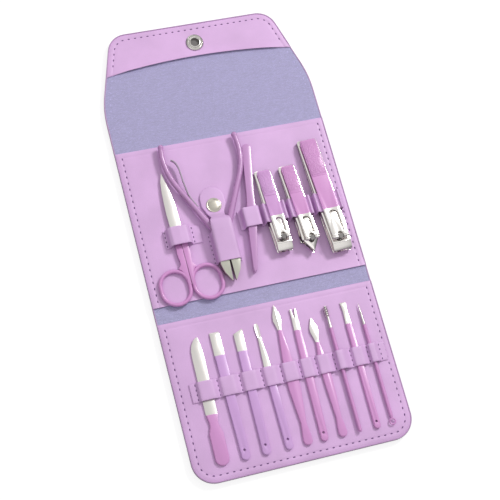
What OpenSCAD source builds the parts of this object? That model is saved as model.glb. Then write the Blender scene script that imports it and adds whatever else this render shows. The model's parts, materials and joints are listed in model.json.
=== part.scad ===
// Folding manicure set case, lying open and flat with its sixteen tools.
// X runs across the case, Y from the lower panel to the closing flap, Z up.

/* [Case] */
// Width of the case
case_w = 150; // [148:1:175]
// Height of the lower panel, from its fold to its bottom edge
lower_h = 109; // [108.5:0.5:125]
// Height of the upper panel, between its two folds
upper_h = 115.5; // [115:0.5:130]
// Width of the spine, between its two folds
spine_w = 11; // [10.5:0.5:16]
// Height of the flap beyond its second fold
flap_h = 69.5; // [66:0.5:76]
// Corner radius of the lower panel
lower_corner = 15; // [6:1:22]
// Corner radius of the flap
flap_corner = 14; // [8:1:18]
// Angle by which the flap's sides lean in
flap_lean = 17; // [8:1:20]
// Lining strip left bare above the upper overlay
bare_strip = 3.3; // [2.5:0.1:6]
// Height of the band sewn along the flap's inside
band_h = 25.8; // [22:0.1:34]
// Drop of the band's free edge at the flap's sides
band_sag = 5; // [3:0.5:7]

/* [Sheets] */
// Thickness of the outer cover
cover_t = 0.8; // [0.6:0.05:1.2]
// Thickness of the stiffening boards
board_t = 0.8; // [0.6:0.05:1.4]
// Thickness of the woven lining
lining_t = 0.5; // [0.4:0.05:0.8]
// Thickness of the inner overlays and the flap's band
overlay_t = 0.9; // [0.7:0.05:1.2]
// Thickness of straps, loops and the holster
strap_t = 0.9; // [0.7:0.05:1.1]
// Margin from a panel's edge to its board
board_margin = 3; // [2:0.5:6]
// Height of the folding lines over the overlays
fold_rise = 2.5; // [1.6:0.1:4]

/* [Press studs] */
// Distance from the flap's second fold to its socket
snap_reach = 54.1; // [52:0.1:57]
// Radius of the outer stud's knob
knob_r = 2.8; // [2.3:0.1:3.4]
// Height of the outer stud's knob
knob_h = 1.7; // [1.5:0.05:2]
// Radius of the flap's socket ring
socket_r = 6.2; // [5.5:0.1:7.5]
// Radius of the cap on the holster's tongue
tongue_cap_r = 5.2; // [4.6:0.1:6]

/* [Tool seats] */
// Gap between a tool and what it lies on
seat_gap = 0.3; // [0.2:0.05:0.5]
// Gap between a tool and the strap over it
strap_gap = 0.3; // [0.25:0.05:0.6]
// Height of the folds of the strap that stand beside each clipper's lever
fold_h = 1.5; // [1:0.1:1.7]
// Room inside the strap's humps on each side of a clipper
clipper_ease = 1.2; // [0.7:0.1:1.3]
// Width of the strap over the clippers and tweezers
strap_w = 14; // [12:0.5:15]
// Height of that strap's lower edge over the spine fold
strap_y = 41; // [39:0.5:43]
// Width of the strap over the small tools
row_strap_w = 12.8; // [10:0.2:14]
// Height of the small tools' strap over the bottom edge
row_strap_y = 52.8; // [48:0.2:56]
// Height of the small tools' feet over the bottom edge
row_foot = 9.7; // [7:0.1:10]

/* [Nail clippers] */
// Length of the straight small clipper
clipper_small_l = 60.2; // [57:0.1:62]
// Length of the pointed clipper
clipper_point_l = 65.2; // [62:0.1:67]
// Length of the large clipper
clipper_large_l = 84.2; // [80:0.1:87]
// Width of the small clippers
clipper_w = 11.6; // [10.5:0.1:12]
// Width of the large clipper
clipper_large_w = 14; // [12.5:0.1:14.4]
// Thickness of a clipper's leaf
leaf_t = 1.3; // [1:0.05:1.5]
// Thickness of a clipper's lever
lever_t = 1.3; // [1:0.05:1.5]
// Height of a clipper's head over both leaves
clipper_head_h = 7.2; // [6.9:0.05:7.4]
// Opening between a clipper's cutting edges
bite = 2.2; // [1.6:0.1:2.4]
// Radius of a clipper's pin
pin_r = 1.7; // [1.4:0.05:1.9]

/* [Scissors] */
// Length of the blades, from the screw to the tips
blade_l = 47; // [42:0.5:48]
// Distance from the screw to the rings' centres
ring_reach = 34.2; // [32:0.1:34.6]
// Outer half width of a finger ring
ring_r = 11; // [10:0.1:11.2]
// Thickness of the scissors
scissors_t = 2.6; // [2.2:0.1:3]
// Radius of the scissors' screw
screw_r = 1.5; // [1.2:0.1:1.8]

/* [Nipper] */
// Thickness of the nipper at its joint
nipper_t = 7.6; // [6.6:0.1:7.8]
// Length of the nipper's jaws from its rivet
jaw_l = 29.5; // [27:0.5:31]
// Half width of the closed jaws
jaw_w = 6.2; // [5.4:0.1:6.3]
// Radius of the nipper's lap joint
joint_r = 5.6; // [5:0.1:6]
// Radius of the nipper's handles at their ends
grip_r = 1.85; // [1.5:0.05:2]
// Angle through which the handles squeeze
squeeze = 4; // [3:0.5:5]
// Angle at which the nipper is drawn up and out of its holster
draw_angle = 4.5; // [4:0.1:5.5]

/* [Tweezers] */
// Length of the tweezers
tweezers_l = 94; // [88:0.5:95]
// Width of the tweezers at their waist
tweezers_w = 6.2; // [5.6:0.1:6.4]
// Thickness of each arm
arm_t = 1.2; // [0.9:0.05:1.3]
// Gap between the tips
tip_gap = 2.2; // [1.6:0.1:2.5]

/* [Small tools] */
// Thickness of the painted handles
handle_t = 1.6; // [1.3:0.05:1.8]
// Thickness of the steel ends
steel_t = 1.0; // [0.8:0.05:1.3]
// Radius of the round rods
rod_r = 1.2; // [1:0.05:1.3]
// Radius of the ear spiral
spiral_r = 1.8; // [1.5:0.05:1.9]
// Radius of the hanging holes
hang_r = 0.85; // [0.6:0.05:1]

/* [Hidden] */
$fn = 64;

// Colours of the parts, as the set shows them
leather = [0.87, 0.71, 0.89];
weave = [0.68, 0.66, 0.82];
card = [0.75, 0.72, 0.68];
steel = [0.90, 0.90, 0.91];
paint = [0.85, 0.60, 0.83];
paint_violet = [0.79, 0.64, 0.85];

// Folds and edges along Y, with the whole case centred on the origin
stack_gap = 0.8;
socket_h = 1;
stud_h = knob_h + 0.5;
z_cover = stud_h;
z_board = z_cover + cover_t;
z_lining = z_board + board_t;
z_face = z_lining + lining_t;
z_over = z_face + overlay_t;
z_seat = z_over + seat_gap;
z_fold = z_over + fold_rise;
z_socket = z_over + socket_h;
bridge_w = spine_w - z_cover + stack_gap + z_socket;
case_l = lower_h + spine_w + upper_h + bridge_w + flap_h;
y_foot = -case_l / 2;
y_lower = y_foot + lower_h;
y_spine = y_lower + spine_w;
y_bridge = y_spine + upper_h;
y_flap = y_bridge + bridge_w;
y_end = y_flap + flap_h;
snap_y = y_flap + snap_reach;
stud_y = y_lower - (upper_h - snap_reach);

// Places of the tools on the upper panel, from the spine fold
scissors_x = -46.1;
scissors_y = 44.9;
scissors_turn = 0.6;
loop_w = 13;
nipper_x = -17.5;
nipper_y = 36.5;
sleeve_y = 20.5;
sleeve_l = 22;
tongue_l = 33.5;
tongue_snap = 62.4;
tweezers_x = -2.3;
tweezers_y = 9.2;
tweezers_turn = -10.9;
clipper_x = [21.3, 39.5, 59.2];
clipper_y = [19.8, 15, 12.1];
clipper_turn = [0.7, 2.2, 1.9];
clipper_l = [clipper_small_l, clipper_point_l, clipper_large_l];
clipper_ws = [clipper_w, clipper_w, clipper_large_w];
clipper_hs = [clipper_head_h, clipper_head_h, clipper_head_h + 0.2];

// Pockets of the lower strap, from its left end
row_left = -60.3;
pocket_w = [14.7, 15, 14.7, 13.3, 12.8, 11.3, 12.6, 11.9, 11.8, 8.7];
strap_end = 3.8;
// Widest part that each pocket has to let through, and its height
row_widths = [8.8, 7, 6.6, 5.6, 8.2, 5.6, 6, 2 * spiral_r, 4.6, 2 * rod_r];
row_heights = [handle_t, handle_t, handle_t, handle_t, handle_t, handle_t, handle_t, 2 * spiral_r, handle_t, 2 * rod_r];
// How far each tool lies left of its pocket's middle, and how far it is turned
row_leans = [1.25, 1.5, 1.5, 1.5, 0.6, 1.1, 1.5, 2.4, 1.5, 1.4];
row_turns = [-0.8, 0, -1.2, 0.4, -1, -1.5, 0, 0, -0.5, 0];
pocket_slack = 0.6;
seam_lip = 1.5;

// Right edge of pocket i, counted from the strap's first seam
function seam_x(i) = i < 0 ? row_left : seam_x(i - 1) + pocket_w[i];
// Middle of the tool in pocket i, where it passes under the strap
function tool_x(i) = seam_x(i) - pocket_w[i] / 2
  - min(row_leans[i], (pocket_w[i] - row_widths[i]) / 2 - pocket_slack - seam_lip + 0.4);

// Points of an arc round a centre
function arc(c, r, a0, a1, n) = [for (i = [0:n]) let (a = a0 + (a1 - a0) * i / n) [c[0] + r * cos(a), c[1] + r * sin(a)]];
// A half outline and its mirror image, as one closed outline
function both(half) = concat(half, [for (i = [len(half) - 1:-1:0]) [-half[i][0], half[i][1]]]);
// The two sides of a strip of width w that follows a path
function side(p, w) = [for (i = [0:len(p) - 1])
  let (a = p[max(i - 1, 0)], b = p[min(i + 1, len(p) - 1)], d = (b - a) / norm(b - a))
  p[i] + w * [-d[1], d[0]]];
function strip(p, w) = let (l = side(p, w / 2), r = side(p, -w / 2)) concat(l, [for (i = [len(r) - 1:-1:0]) r[i]]);

// A sheet with the given outline
module sheet(z, t) translate([0, 0, z]) linear_extrude(t) children();
// A side view in Y and Z, pulled out to width w along X
module slab(w, points) rotate([90, 0, 90]) linear_extrude(w, center = true) polygon(points);
// An end view in X and Z, pulled out along Y from y0 over length l
module rail(y0, l, points) translate([0, y0 + l, 0]) rotate([90, 0, 0]) linear_extrude(l) polygon(points);

module band_rect(y0, y1, inset = 0)
  translate([-case_w / 2 + inset, y0 + inset]) square([case_w - 2 * inset, y1 - y0 - 2 * inset]);

module lower_outline(inset = 0) {
  r = lower_corner - inset;
  w = case_w / 2 - inset;
  y0 = y_foot + inset;
  y1 = y_lower - inset;
  polygon(both(concat([[w, y1]], arc([w - r, y0 + r], r, 0, -90, 10))));
}

module flap_outline() {
  w = case_w / 2;
  bend = w;
  knee = 4;
  straight = arc([w - bend, y_flap + knee], bend, 0, flap_lean, 4);
  last = straight[4];
  yc = y_end - flap_corner;
  drop = yc + flap_corner * sin(flap_lean) - last[1];
  xc = last[0] - drop * tan(flap_lean) - flap_corner * cos(flap_lean);
  polygon(both(concat([[w, y_flap]], straight, arc([xc, yc], flap_corner, flap_lean, 90, 8))));
}

// Case panels

module upper_cover() color(leather) sheet(z_cover, cover_t) band_rect(y_spine, y_bridge);

module upper_board() color(card) sheet(z_board, board_t) band_rect(y_spine, y_bridge, board_margin);

module upper_lining() color(weave) difference() {
  sheet(z_board, board_t + lining_t) band_rect(y_spine, y_bridge);
  sheet(z_board - 1, board_t + 1) band_rect(y_spine, y_bridge, board_margin);
}

module upper_overlay() color(leather)
  sheet(z_face, overlay_t) band_rect(y_spine, y_bridge - bare_strip);

module spine_cover() color(leather) sheet(z_cover, cover_t) band_rect(y_lower, y_spine);

module spine_lining() color(weave) sheet(z_board, board_t + lining_t) band_rect(y_lower, y_spine);

module lower_cover() color(leather) sheet(z_cover, cover_t) lower_outline();

module lower_board() color(card) sheet(z_board, board_t) lower_outline(board_margin);

module lower_lining() color(weave) difference() {
  sheet(z_board, board_t + lining_t) lower_outline();
  sheet(z_board - 1, board_t + 1) lower_outline(board_margin);
}

module lower_overlay() color(leather) sheet(z_face, overlay_t) lower_outline();

module bridge_cover() color(leather) sheet(z_cover, cover_t) band_rect(y_bridge, y_flap);

module bridge_lining() color(weave) sheet(z_board, board_t + lining_t) band_rect(y_bridge, y_flap);

module snap_hole() translate([0, snap_y]) circle(knob_r + 1.2);

module flap_cover() color(leather) sheet(z_cover, cover_t) difference() {
  flap_outline();
  snap_hole();
}

module flap_lining() color(weave) sheet(z_board, board_t + lining_t) difference() {
  flap_outline();
  snap_hole();
}

module flap_band() color(leather) sheet(z_face, overlay_t) difference() {
  flap_outline();
  snap_hole();
  half = case_w / 2 - 8;
  bow = (half * half + band_sag * band_sag) / (2 * band_sag);
  translate([0, y_end - band_h - bow]) circle(bow, $fn = 180);
  translate([-case_w, y_flap - 1]) square([2 * case_w, flap_h - band_h - band_sag]);
}

// Press studs

module lower_stud() color(steel) translate([0, stud_y, 0]) {
  translate([0, 0, knob_h]) cylinder(h = stud_h - knob_h, r = socket_r - 1);
  cylinder(h = 0.4, r1 = knob_r - 0.4, r2 = knob_r);
  translate([0, 0, 0.4]) cylinder(h = 0.6, r = knob_r);
  translate([0, 0, 1]) cylinder(h = knob_h - 1, r = knob_r - 0.3);
}

module flap_socket() color(steel) translate([0, snap_y, 0]) difference() {
  union() {
    translate([0, 0, z_over]) cylinder(h = socket_h, r = socket_r);
    translate([0, 0, z_cover + 0.1]) cylinder(h = z_over - z_cover, r = knob_r + 1);
  }
  translate([0, 0, z_cover]) cylinder(h = z_socket, r = knob_r + 0.3);
  translate([0, 0, z_socket - 0.4]) difference() {
    cylinder(h = 1, r = socket_r - 0.9);
    cylinder(h = 1, r = knob_r + 1.1);
  }
}

module flap_cap() color(steel) translate([0, snap_y, 0]) {
  translate([0, 0, z_cover - 0.7]) cylinder(h = 0.7, r = socket_r);
  translate([0, 0, z_cover - 1.1]) cylinder(h = 0.4, r1 = socket_r - 1, r2 = socket_r);
  translate([0, 0, z_cover]) cylinder(h = 1.6, r = knob_r - 0.4);
}

// Straps

// End view of one strap hump over a rectangle from x0 to x1 and up to z1
module hump(xl, xr, x0, x1, z1, y0, l, lip = 1) {
  difference() {
    rail(y0, l, [[xl, z_over], [x0 - strap_t * 0.6, z1 + strap_t], [x1 + strap_t * 0.6, z1 + strap_t], [xr, z_over]]);
    rail(y0 - 1, l + 2, [[xl + lip, z_over - 1], [xl + lip, z_over], [x0, z1], [x1, z1], [xr - lip, z_over], [xr - lip, z_over - 1]]);
  }
}

module flat_strip(x0, x1, y0, l) translate([x0, y0, z_over]) cube([x1 - x0, l, strap_t]);

module lower_strap() color(leather) {
  y0 = y_foot + row_strap_y;
  flat_strip(row_left - strap_end, row_left + 0.6, y0, row_strap_w);
  for (i = [0:9]) {
    x = tool_x(i);
    w = row_widths[i] / 2 + pocket_slack;
    z = z_seat + row_heights[i] + strap_gap;
    hump(seam_x(i - 1) - 0.4, seam_x(i) + 0.4, x - w, x + w, z, y0, row_strap_w);
    flat_strip(seam_x(i) - 0.6, seam_x(i) + (i == 9 ? strap_end : 0.6), y0, row_strap_w);
  }
}

// Straight box hump whose top may lean along Y, from height z0 at y0 to z1 at y0 + l, with its
// side folds standing up above its top by fold
module box_hump(xc, inner, y0, l, z0, z1, fold = 0) {
  for (s = [-1, 1]) translate([xc + s * (inner / 2 + strap_t / 2), 0, 0])
    slab(strap_t, [[y0, z_over], [y0, z0 + strap_t + fold], [y0 + l, z1 + strap_t + fold], [y0 + l, z_over]]);
  translate([xc, 0, 0]) slab(inner + strap_t, [[y0, z0], [y0, z0 + strap_t], [y0 + l, z1 + strap_t], [y0 + l, z1]]);
}

// Height of a clipper's upper leaf over its seat, at distance s from the edge
function leaf_top(i, s) = tail_h + (clipper_hs[i] - tail_h) * (clipper_l[i] - s) / (clipper_l[i] - neck_s);
function leaf_slope(i) = atan((clipper_hs[i] - tail_h) / (clipper_l[i] - neck_s));
// Distance from a clipper's edge to the strap's lower edge
function strap_s(i) = strap_y - clipper_y[i];

// Half of a hump's inner width over each clipper
function clipper_room(i) = clipper_ws[i] / 2 + clipper_ease;

tweezers_loop_x = tweezers_x - (strap_y + strap_w / 2 - tweezers_y) * tan(tweezers_turn);
tweezers_room = tweezers_w / 2 + 0.6 + strap_w / 2 * tan(-tweezers_turn);
// Widths of the strap's two sewn ends
strap_ends = [3.5, 2.9];

module tool_strap() color(leather) {
  y0 = y_spine + strap_y;
  edges = concat([[tweezers_loop_x - tweezers_room, tweezers_loop_x + tweezers_room]],
    [for (i = [0:2]) [clipper_x[i] - clipper_room(i), clipper_x[i] + clipper_room(i)]]);
  arm_top = z_seat + 2 * arm_t + arm_rise + strap_gap;
  box_hump(tweezers_loop_x, 2 * tweezers_room, y0, strap_w, arm_top, arm_top);
  for (i = [0:2]) box_hump(clipper_x[i], 2 * clipper_room(i), y0, strap_w,
    z_seat + leaf_top(i, strap_s(i)) + strap_gap, z_seat + leaf_top(i, strap_s(i) + strap_w) + strap_gap, fold_h);
  flat_strip(edges[0][0] - strap_ends[0], edges[0][0], y0, strap_w);
  for (k = [0:2]) flat_strip(edges[k][1] + strap_t / 2, edges[k + 1][0] - strap_t / 2, y0, strap_w);
  flat_strip(edges[3][1], edges[3][1] + strap_ends[1], y0, strap_w);
}

loop_x0 = -10.1;
loop_x1 = 15.3;
loop_room = 7.2;
loop_z = z_seat + scissors_t + 3.4;

module scissors_loop() color(leather) {
  y0 = y_spine + scissors_y - loop_w / 2;
  box_hump(scissors_x, 2 * loop_room, y0, loop_w, loop_z, loop_z);
  flat_strip(scissors_x + loop_x0, scissors_x - loop_room, y0, loop_w);
  flat_strip(scissors_x + loop_room, scissors_x + loop_x1, y0, loop_w);
}

// Holster of the nipper

sleeve_room = jaw_w + 1.1;
// Height of the sleeve's underside at distance y from the spine fold, parallel to the nipper's way out
function sleeve_z(y) = z_seat + nipper_t + strap_gap + (y - nipper_y + jaw_l * 0.35) * tan(draw_angle);
tongue_flat_z = z_over + 0.7;
tongue_fold = sleeve_y + sleeve_l;
tongue_z = sleeve_z(tongue_fold);

module holster_sleeve() color(leather) {
  y0 = y_spine + sleeve_y;
  box_hump(nipper_x, 2 * sleeve_room, y0, sleeve_l, sleeve_z(sleeve_y), tongue_z);
  for (s = [-1, 1]) translate([nipper_x + s * (sleeve_room + 1.2) - 1.2, y0 + 7, z_over]) cube([2.4, sleeve_l - 7, strap_t]);
}

module tongue_plan() {
  y0 = tongue_fold + 0.3;
  polygon(both([[sleeve_room, y0], [sleeve_room, tongue_fold + 8], [3.9, tongue_fold + 8.6],
    [3.9, tongue_fold + 15.5], [7.6, tongue_fold + 18.5], [8.4, tongue_snap]]));
  translate([0, tongue_snap + 5]) circle(8.4);
  translate([-8.4, tongue_snap]) square([16.8, 5]);
}

// Distances from the spine fold where the tongue bends down and where it lies flat
tongue_bend = tongue_fold + 7;
tongue_land = tongue_fold + 14;

module holster_tongue() color(leather) translate([nipper_x, y_spine, 0]) difference() {
  intersection() {
    translate([0, 0, z_over]) linear_extrude(20) tongue_plan();
    slab(40, [[tongue_fold, tongue_z], [tongue_fold, tongue_z + strap_t], [tongue_bend + 0.3, tongue_z + strap_t],
      [tongue_land + 0.3, tongue_flat_z + strap_t], [tongue_fold + 40, tongue_flat_z + strap_t],
      [tongue_fold + 40, tongue_flat_z], [tongue_land, tongue_flat_z], [tongue_bend, tongue_z]]);
  }
  translate([0, tongue_snap, 0]) cylinder(h = 20, r = holster_knob_r + 1.1);
}

holster_knob_r = 2.2;

module holster_cap() color(steel) translate([nipper_x, y_spine + tongue_snap, 0]) {
  z1 = tongue_flat_z + strap_t;
  difference() {
    translate([0, 0, tongue_flat_z]) cylinder(h = strap_t, r = holster_knob_r + 1);
    cylinder(h = 20, r = holster_knob_r + 0.4);
  }
  translate([0, 0, z1]) cylinder(h = 0.4, r = tongue_cap_r);
  translate([0, 0, z1 + 0.4]) cylinder(h = 0.5, r1 = tongue_cap_r, r2 = tongue_cap_r - 0.7);
  translate([0, 0, z1 + 0.9]) cylinder(h = 0.2, r1 = tongue_cap_r - 0.7, r2 = tongue_cap_r - 2);
}

module holster_stud() color(steel) translate([nipper_x, y_spine + tongue_snap, z_over]) {
  cylinder(h = 0.4, r = holster_knob_r + 2);
  cylinder(h = 1.1, r = holster_knob_r - 0.2);
  translate([0, 0, 0.9]) cylinder(h = 0.5, r = holster_knob_r);
}

// Scissors, with their screw at the origin and the tips towards Y

module at_scissors() translate([scissors_x, y_spine + scissors_y, z_seat]) rotate([0, 0, scissors_turn]) children();

lap = scissors_t / 2 - 0.05;
boss_r = 4.5;
ring_tube = scissors_t / 2;

module blade_outline(slim = 0) polygon([[-4.4 + slim, 0], [-4.7 + slim, blade_l * 0.36], [-4.4 + slim, blade_l * 0.53],
  [-3.9 + slim, blade_l * 0.7], [-2.9 + slim, blade_l * 0.87], [-0.9, blade_l - slim], [0.3 - slim, blade_l * 0.87],
  [1.8 - slim, blade_l * 0.7], [2.8 - slim, blade_l * 0.53], [3.1 - slim, blade_l * 0.36], [3 - slim, 0]]);

// Blade tapering in thickness, from z0 at the lap to the edge plane
module blade(lower) {
  slim = lower ? 0.35 : 0;
  tip_t = 0.55;
  mid = scissors_t / 2;
  profile = lower
    ? [[0, 0], [0, lap], [blade_l, lap], [blade_l, mid - tip_t], [blade_l * 0.3, 0]]
    : [[0, mid + 0.05], [0, scissors_t], [blade_l * 0.3, scissors_t], [blade_l, mid + tip_t], [blade_l, mid + 0.05]];
  intersection() {
    linear_extrude(scissors_t) blade_outline(slim);
    slab(20, profile);
  }
}

// Finger ring and shank, on the side s
module ring_and_shank(s) {
  rc = ring_r - ring_tube;
  tall = 1.9;
  cx = s * (ring_r + 0.2);
  translate([cx, -ring_reach, ring_tube]) {
    for (end = [0, 1]) rotate([0, 0, 180 * end]) translate([0, tall, 0])
      rotate_extrude(angle = 180) translate([rc, 0]) circle(ring_tube, $fn = 32);
    for (side = [-1, 1]) translate([side * rc, tall, 0]) rotate([90, 0, 0]) cylinder(h = 2 * tall, r = ring_tube, $fn = 32);
  }
  full = [[0.15, -6.4], [4.1, -6.4], [4.5, -12], [3.9, -17], [3.9, -19.4], [6, -22.2], [4.6, -23.4], [3, -26],
    [2.2, -29], [2.2, -ring_reach], [0.25, -ring_reach]];
  linear_extrude(scissors_t) polygon([for (p = full) [s * p[0], p[1]]]);
}

module half_shank(s, z) translate([0, 0, z]) linear_extrude(lap) {
  circle(boss_r);
  polygon([for (p = [[0.15, 0], [4.3, 0], [4.1, -7.4], [0.15, -7.4]]) [s * p[0], p[1]]]);
}

module scissors_ring_left() color(paint) at_scissors() difference() {
  union() {
    blade(true);
    half_shank(-1, 0);
    ring_and_shank(-1);
  }
  translate([0, 0, -1]) cylinder(h = 10, r = screw_r + 0.05);
}

module scissors_ring_right() color(paint) at_scissors() difference() {
  union() {
    blade(false);
    half_shank(1, scissors_t - lap);
    ring_and_shank(1);
  }
  translate([0, 0, -1]) cylinder(h = 10, r = screw_r + 0.05);
}

module scissors_screw() color(steel) at_scissors() {
  translate([0, 0, 0.1]) cylinder(h = scissors_t, r = screw_r);
  difference() {
    translate([0, 0, scissors_t + 0.05]) cylinder(h = 0.6, r1 = screw_r + 0.9, r2 = screw_r + 0.5);
    translate([-3, -0.25, scissors_t + 0.4]) cube([6, 0.5, 1]);
  }
}

// Cuticle nipper, with its rivet at the origin and the handles towards Y

module at_nipper() translate([nipper_x, y_spine + nipper_y, z_seat]) children();

handle_angle = 26;
handle_start = 2.1;
handle_run = 45.2;
handle_bow = 49;
handle_turn = 36.3;
mid_t = nipper_t / 2;
rivet_r = 2;

// Right handle, as a straight taper and a long bow
module nipper_handle() translate([handle_start, 2, mid_t]) rotate([0, 0, -handle_angle]) {
  rotate([-90, 0, 0]) cylinder(h = handle_run, r1 = grip_r + 0.55, r2 = grip_r);
  translate([-handle_bow, handle_run, 0]) rotate_extrude(angle = handle_turn) translate([handle_bow, 0]) circle(grip_r);
  translate([-handle_bow, handle_run, 0]) rotate([0, 0, handle_turn]) translate([handle_bow, 0, 0]) sphere(grip_r + 0.2);
}

// Left jaw, as it stands when the jaws are shut
module nipper_jaw() intersection() {
  linear_extrude(nipper_t) polygon([[-0.05, 0], [-joint_r + 0.3, 0], [-jaw_w, -jaw_l * 0.33], [-jaw_w, -jaw_l * 0.6],
    [-jaw_w * 0.7, -jaw_l * 0.8], [-0.5, -jaw_l], [-0.05, -jaw_l]]);
  slab(30, [[0, 0], [-jaw_l * 0.35, 0], [-jaw_l * 0.8, mid_t - 2.2], [-jaw_l, mid_t - 1.4], [-jaw_l, mid_t + 1.4],
    [-jaw_l * 0.8, mid_t + 2.2], [-jaw_l * 0.35, nipper_t], [0, nipper_t]]);
}

// Half of the nipper with the right handle, its disc below the middle
module nipper_half() difference() {
  union() {
    difference() {
      union() {
        nipper_handle();
        rotate([0, 0, -squeeze / 2]) nipper_jaw();
      }
      translate([0, 0, mid_t - 0.05]) cylinder(h = nipper_t, r = joint_r + 0.2);
    }
    cylinder(h = mid_t - 0.05, r = joint_r);
  }
  translate([0, 0, -1]) cylinder(h = nipper_t + 2, r = rivet_r + 0.05);
}

module nipper_right() color(paint) at_nipper() nipper_half();

spring_w = 2.6;
spring_t = 0.5;
spring_seat = grip_r - 0.15;

// Leaf spring along the left handle's inner side
module nipper_spring() color(steel) at_nipper() mirror([1, 0, 0])
  translate([handle_start, 2, mid_t - spring_w / 2]) rotate([0, 0, -handle_angle]) linear_extrude(spring_w)
    polygon(strip([for (p = [[25.5, 0], [33, 0], [36, 0.5], [40, 1.8], [46, 3.9], [51, 6], [55, 7.6], [58.5, 8.3], [61, 8], [63, 7]])
      [-spring_seat - spring_t / 2 - p[1], p[0]]], spring_t));

module nipper_left() color(paint) at_nipper() difference() {
  translate([0, 0, nipper_t]) rotate([0, 180, 0]) nipper_half();
  mirror([1, 0, 0]) translate([handle_start, 2, mid_t]) rotate([0, 0, -handle_angle])
    translate([-spring_seat - 3, 24.5, -spring_w / 2 - 0.1]) cube([3, 9.5, spring_w + 0.2]);
}

module nipper_rivet() color(steel) at_nipper() translate([0, 0, 0.1]) cylinder(h = nipper_t - 0.2, r = rivet_r);

// Tweezers, with their tips at the origin and the joined end towards Y

module at_tweezers() translate([tweezers_x, y_spine + tweezers_y, z_seat]) rotate([0, 0, tweezers_turn]) children();

arm_rise = 3.2;
weld = tweezers_l - 11;

module arm_plan() {
  w = tweezers_w / 2;
  top = tweezers_l - w;
  polygon(both(concat([[0.9, 0.6], [1.5, 4], [w, tweezers_l * 0.37], [w, tweezers_l * 0.46], [w - 0.5, tweezers_l * 0.6]],
    arc([0, top], w, 0, 75, 5), [[0.5, tweezers_l]])));
}

module slant_cut() translate([-1.2, -1, -1]) rotate([0, 0, 30]) translate([-6, -3, 0]) cube([12, 4, 20]);

module tweezers_base() color(paint) at_tweezers() difference() {
  linear_extrude(arm_t) arm_plan();
  slant_cut();
}

module tweezers_arm() color(paint) at_tweezers() difference() {
  intersection() {
    linear_extrude(20) arm_plan();
    slab(20, [[0, arm_t + tip_gap], [tweezers_l * 0.48, arm_t + arm_rise], [weld, arm_t], [tweezers_l, arm_t],
      [tweezers_l, 2 * arm_t], [weld + 0.5, 2 * arm_t], [tweezers_l * 0.48, 2 * arm_t + arm_rise], [0, 2 * arm_t + tip_gap]]);
  }
  slant_cut();
}

// Nail clippers, with the cutting edge at the origin and the tail towards Y

tail_h = 2 * leaf_t + 0.2;
neck_s = 7;
pin_s = 8.6;
rivet_in = 3;
tail_rivet_r = 1.2;
lever_clear = 2 * strap_gap + strap_t;
axle_r = 0.7;
eye_r = 1.3;
point_angle = 58;

module at_clipper(i)
  translate([clipper_x[i], y_spine + strap_y + strap_w / 2, z_seat]) rotate([0, 0, clipper_turn[i]])
    translate([0, -strap_s(i) - strap_w / 2, 0]) children();

// Plan of a leaf: straight edge, or a point between two slanted edges
module leaf_plan(i, pointed) {
  w = clipper_ws[i] / 2;
  l = clipper_l[i];
  head = pointed ? [[0.4, 0], [6.3, 5.9 * tan(point_angle)], [w, 20]] : [[w - 0.5, 0], [w - 0.5, 6], [w, 20]];
  polygon(both(concat(head, arc([w - 1.6, l - 1.6], 1.6, 0, 90, 4))));
}

// Shape of a leaf seen from its side, given the side view of its jaw
module leaf_body(i, pointed, bar, jaw) intersection() {
  linear_extrude(20) leaf_plan(i, pointed);
  union() {
    slab(40, bar);
    if (pointed) for (s = [-1, 1]) intersection() {
      rotate([0, 0, s * point_angle]) slab(60, jaw);
      translate([s > 0 ? 0 : -20, -1, -1]) cube([20, 40, 30]);
    }
    else slab(40, jaw);
  }
}

module clipper_base(i, pointed) color(steel) at_clipper(i) difference() {
  l = clipper_l[i];
  start = pointed ? 9 : 5;
  leaf_body(i, pointed, [[start, 0], [l, 0], [l, leaf_t], [start, leaf_t]],
    [[0, 2.7], [0.3, 1.9], [2.2, 0.5], [5.5, 0], [9, 0], [9, leaf_t], [3.6, leaf_t], [1.5, 2]]);
  translate([0, pin_s, -1]) cylinder(h = 10, r = pin_r + 0.05);
  translate([0, pin_s, -1]) cylinder(h = 1.65, r = pin_r + 1.2);
  translate([0, l - rivet_in, -1]) cylinder(h = 10, r = tail_rivet_r + 0.05);
}

module clipper_leaf(i, pointed) color(steel) at_clipper(i) difference() {
  l = clipper_l[i];
  h = clipper_hs[i];
  edge = 2.7 + bite;
  start = pointed ? 9 : 5;
  z0 = leaf_top(i, start);
  leaf_body(i, pointed, [[start, z0 - leaf_t], [l, tail_h - leaf_t], [l, tail_h], [start, z0]],
    [[0, edge], [0.3, edge + 0.8], [2.2, h - 0.5], [5, h], [9, leaf_top(i, 9)], [9, leaf_top(i, 9) - leaf_t],
      [5, h - leaf_t], [3.6, h - leaf_t], [1.5, edge + 0.7]]);
  if (pointed) slab(40, [[start, z0], [start, 20], [l + 1, 20], [l + 1, tail_h - tan(leaf_slope(i))]]);
  translate([0, pin_s, 0]) cylinder(h = 20, r = pin_r + 0.5);
  translate([0, l - rivet_in, 0]) cylinder(h = 20, r = tail_rivet_r + 0.15);
}

module clipper_rivet(i) color(steel) at_clipper(i)
  translate([0, clipper_l[i] - rivet_in, 0.05]) cylinder(h = tail_h, r = tail_rivet_r);

// Height of the lever's axle over the seat
function axle_z(i) = leaf_top(i, pin_s) + lever_clear + lever_t / 2 + 0.05;

module clipper_pin(i) color(steel) at_clipper(i) translate([0, pin_s, 0]) {
  z = axle_z(i);
  translate([0, 0, 0.05]) cylinder(h = 0.5, r = pin_r + 1);
  translate([0, 0, 0.05]) cylinder(h = z + 0.9, r = pin_r);
  translate([0, 0, z]) rotate([0, 90, 0]) cylinder(h = clipper_ws[i] - 3.4, r = axle_r, center = true);
}

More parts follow.
